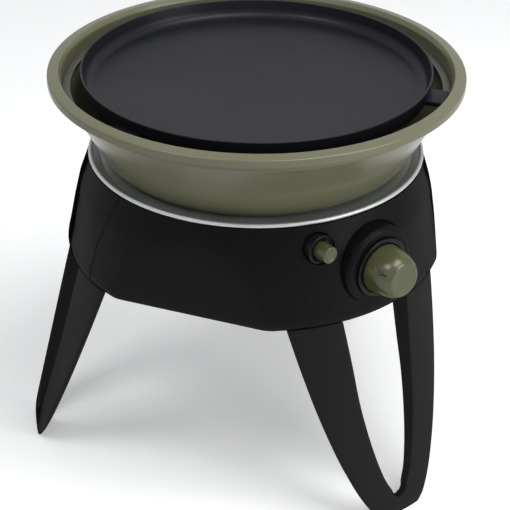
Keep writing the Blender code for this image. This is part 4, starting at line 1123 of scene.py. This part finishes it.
def seen_rays(tree):
    """Tells rays from the camera, and those that gloss or glass send on, from the rest."""
    rays = tree.nodes.new("ShaderNodeLightPath")
    total = rays.outputs["Is Camera Ray"]
    for name in ("Is Glossy Ray", "Is Transmission Ray"):
        either = tree.nodes.new("ShaderNodeMath")
        either.operation = "MAXIMUM"
        tree.links.new(total, either.inputs[0])
        tree.links.new(rays.outputs[name], either.inputs[1])
        total = either.outputs["Value"]
    return total


def white_backdrop():
    """A world that looks white and lights the object plainly."""
    world = bpy.data.worlds.new("studio")
    bpy.context.scene.world = world
    world.use_nodes = True
    nodes, links = world.node_tree.nodes, world.node_tree.links
    nodes.clear()
    fill = nodes.new("ShaderNodeBackground")
    fill.inputs["Color"].default_value = (0.95, 0.97, 1.0, 1)
    fill.inputs["Strength"].default_value = FILL
    white = nodes.new("ShaderNodeBackground")
    white.inputs["Strength"].default_value = 1.0
    mix = nodes.new("ShaderNodeMixShader")
    output = nodes.new("ShaderNodeOutputWorld")
    links.new(seen_rays(world.node_tree), mix.inputs["Fac"])
    links.new(fill.outputs["Background"], mix.inputs[1])
    links.new(white.outputs["Background"], mix.inputs[2])
    links.new(mix.outputs["Shader"], output.inputs["Surface"])


def make_floor():
    """A pale floor that keeps the object's soft shadow and is white elsewhere."""
    deselect()
    bpy.ops.mesh.primitive_plane_add(size=6, location=(0, 0, 0))
    floor = named("floor")
    look, shader = new_finish("white floor", (0.95, 0.95, 0.95), 0.9, **{"Specular IOR Level": 0.0})
    sources = [(0, seen_rays(look.node_tree)), (1, FLOOR_LIFT)]
    lift = add_node(look, "ShaderNodeMath", sources, operation="MULTIPLY")
    shader.inputs["Emission Color"].default_value = (1, 1, 1, 1)
    look.node_tree.links.new(lift.outputs["Value"], shader.inputs["Emission Strength"])
    floor.data.materials.append(look)
    return floor


def softbox(name, place, size, power, colour=(1, 1, 1), aim=(0, 0, 0.25)):
    light = bpy.data.lights.new(name, "AREA")
    light.shape = "RECTANGLE"
    light.size, light.size_y = size
    light.energy = power
    light.color = colour
    lamp = bpy.data.objects.new(name, light)
    lamp.location = place
    lamp.rotation_euler = (Vector(aim) - Vector(place)).to_track_quat("-Z", "Y").to_euler()
    bpy.context.scene.collection.objects.link(lamp)


def set_camera():
    rise, turn = CAMERA_RISE, CAMERA_TURN
    ahead = Vector((math.sin(turn) * math.cos(rise), math.cos(turn) * math.cos(rise), -math.sin(rise)))
    right = Vector((math.cos(turn), -math.sin(turn), 0))
    up = right.cross(ahead)
    data = bpy.data.cameras.new("camera")
    data.lens = LENS
    data.sensor_width = SENSOR
    camera = bpy.data.objects.new("camera", data)
    lip = Vector((0, AXIS_Y, LIP))
    camera.location = lip - ahead * CAMERA_DISTANCE + right * CAMERA_SIDE - up * CAMERA_DROP
    camera.rotation_euler = ahead.to_track_quat("-Z", "Y").to_euler()
    camera.rotation_euler.rotate_axis("Z", CAMERA_ROLL)
    bpy.context.scene.collection.objects.link(camera)
    bpy.context.scene.camera = camera


make_griddle()
make_ring()
make_pan()
make_dish()
make_housing()
make_legs()
make_knob()
make_bezel()
make_igniter()
make_burner()
dress_frame()

bpy.context.scene.view_settings.view_transform = "Standard"
white_backdrop()
make_floor()
softbox("overhead", (0.2, -0.6, 1.8), (1.1, 0.9), 18)
softbox("left", (-1.1, 0.1, 1.9), (0.7, 0.7), 9)
softbox("right", (0.7, -1.8, 0.9), (1.0, 1.2), 17)
set_camera()
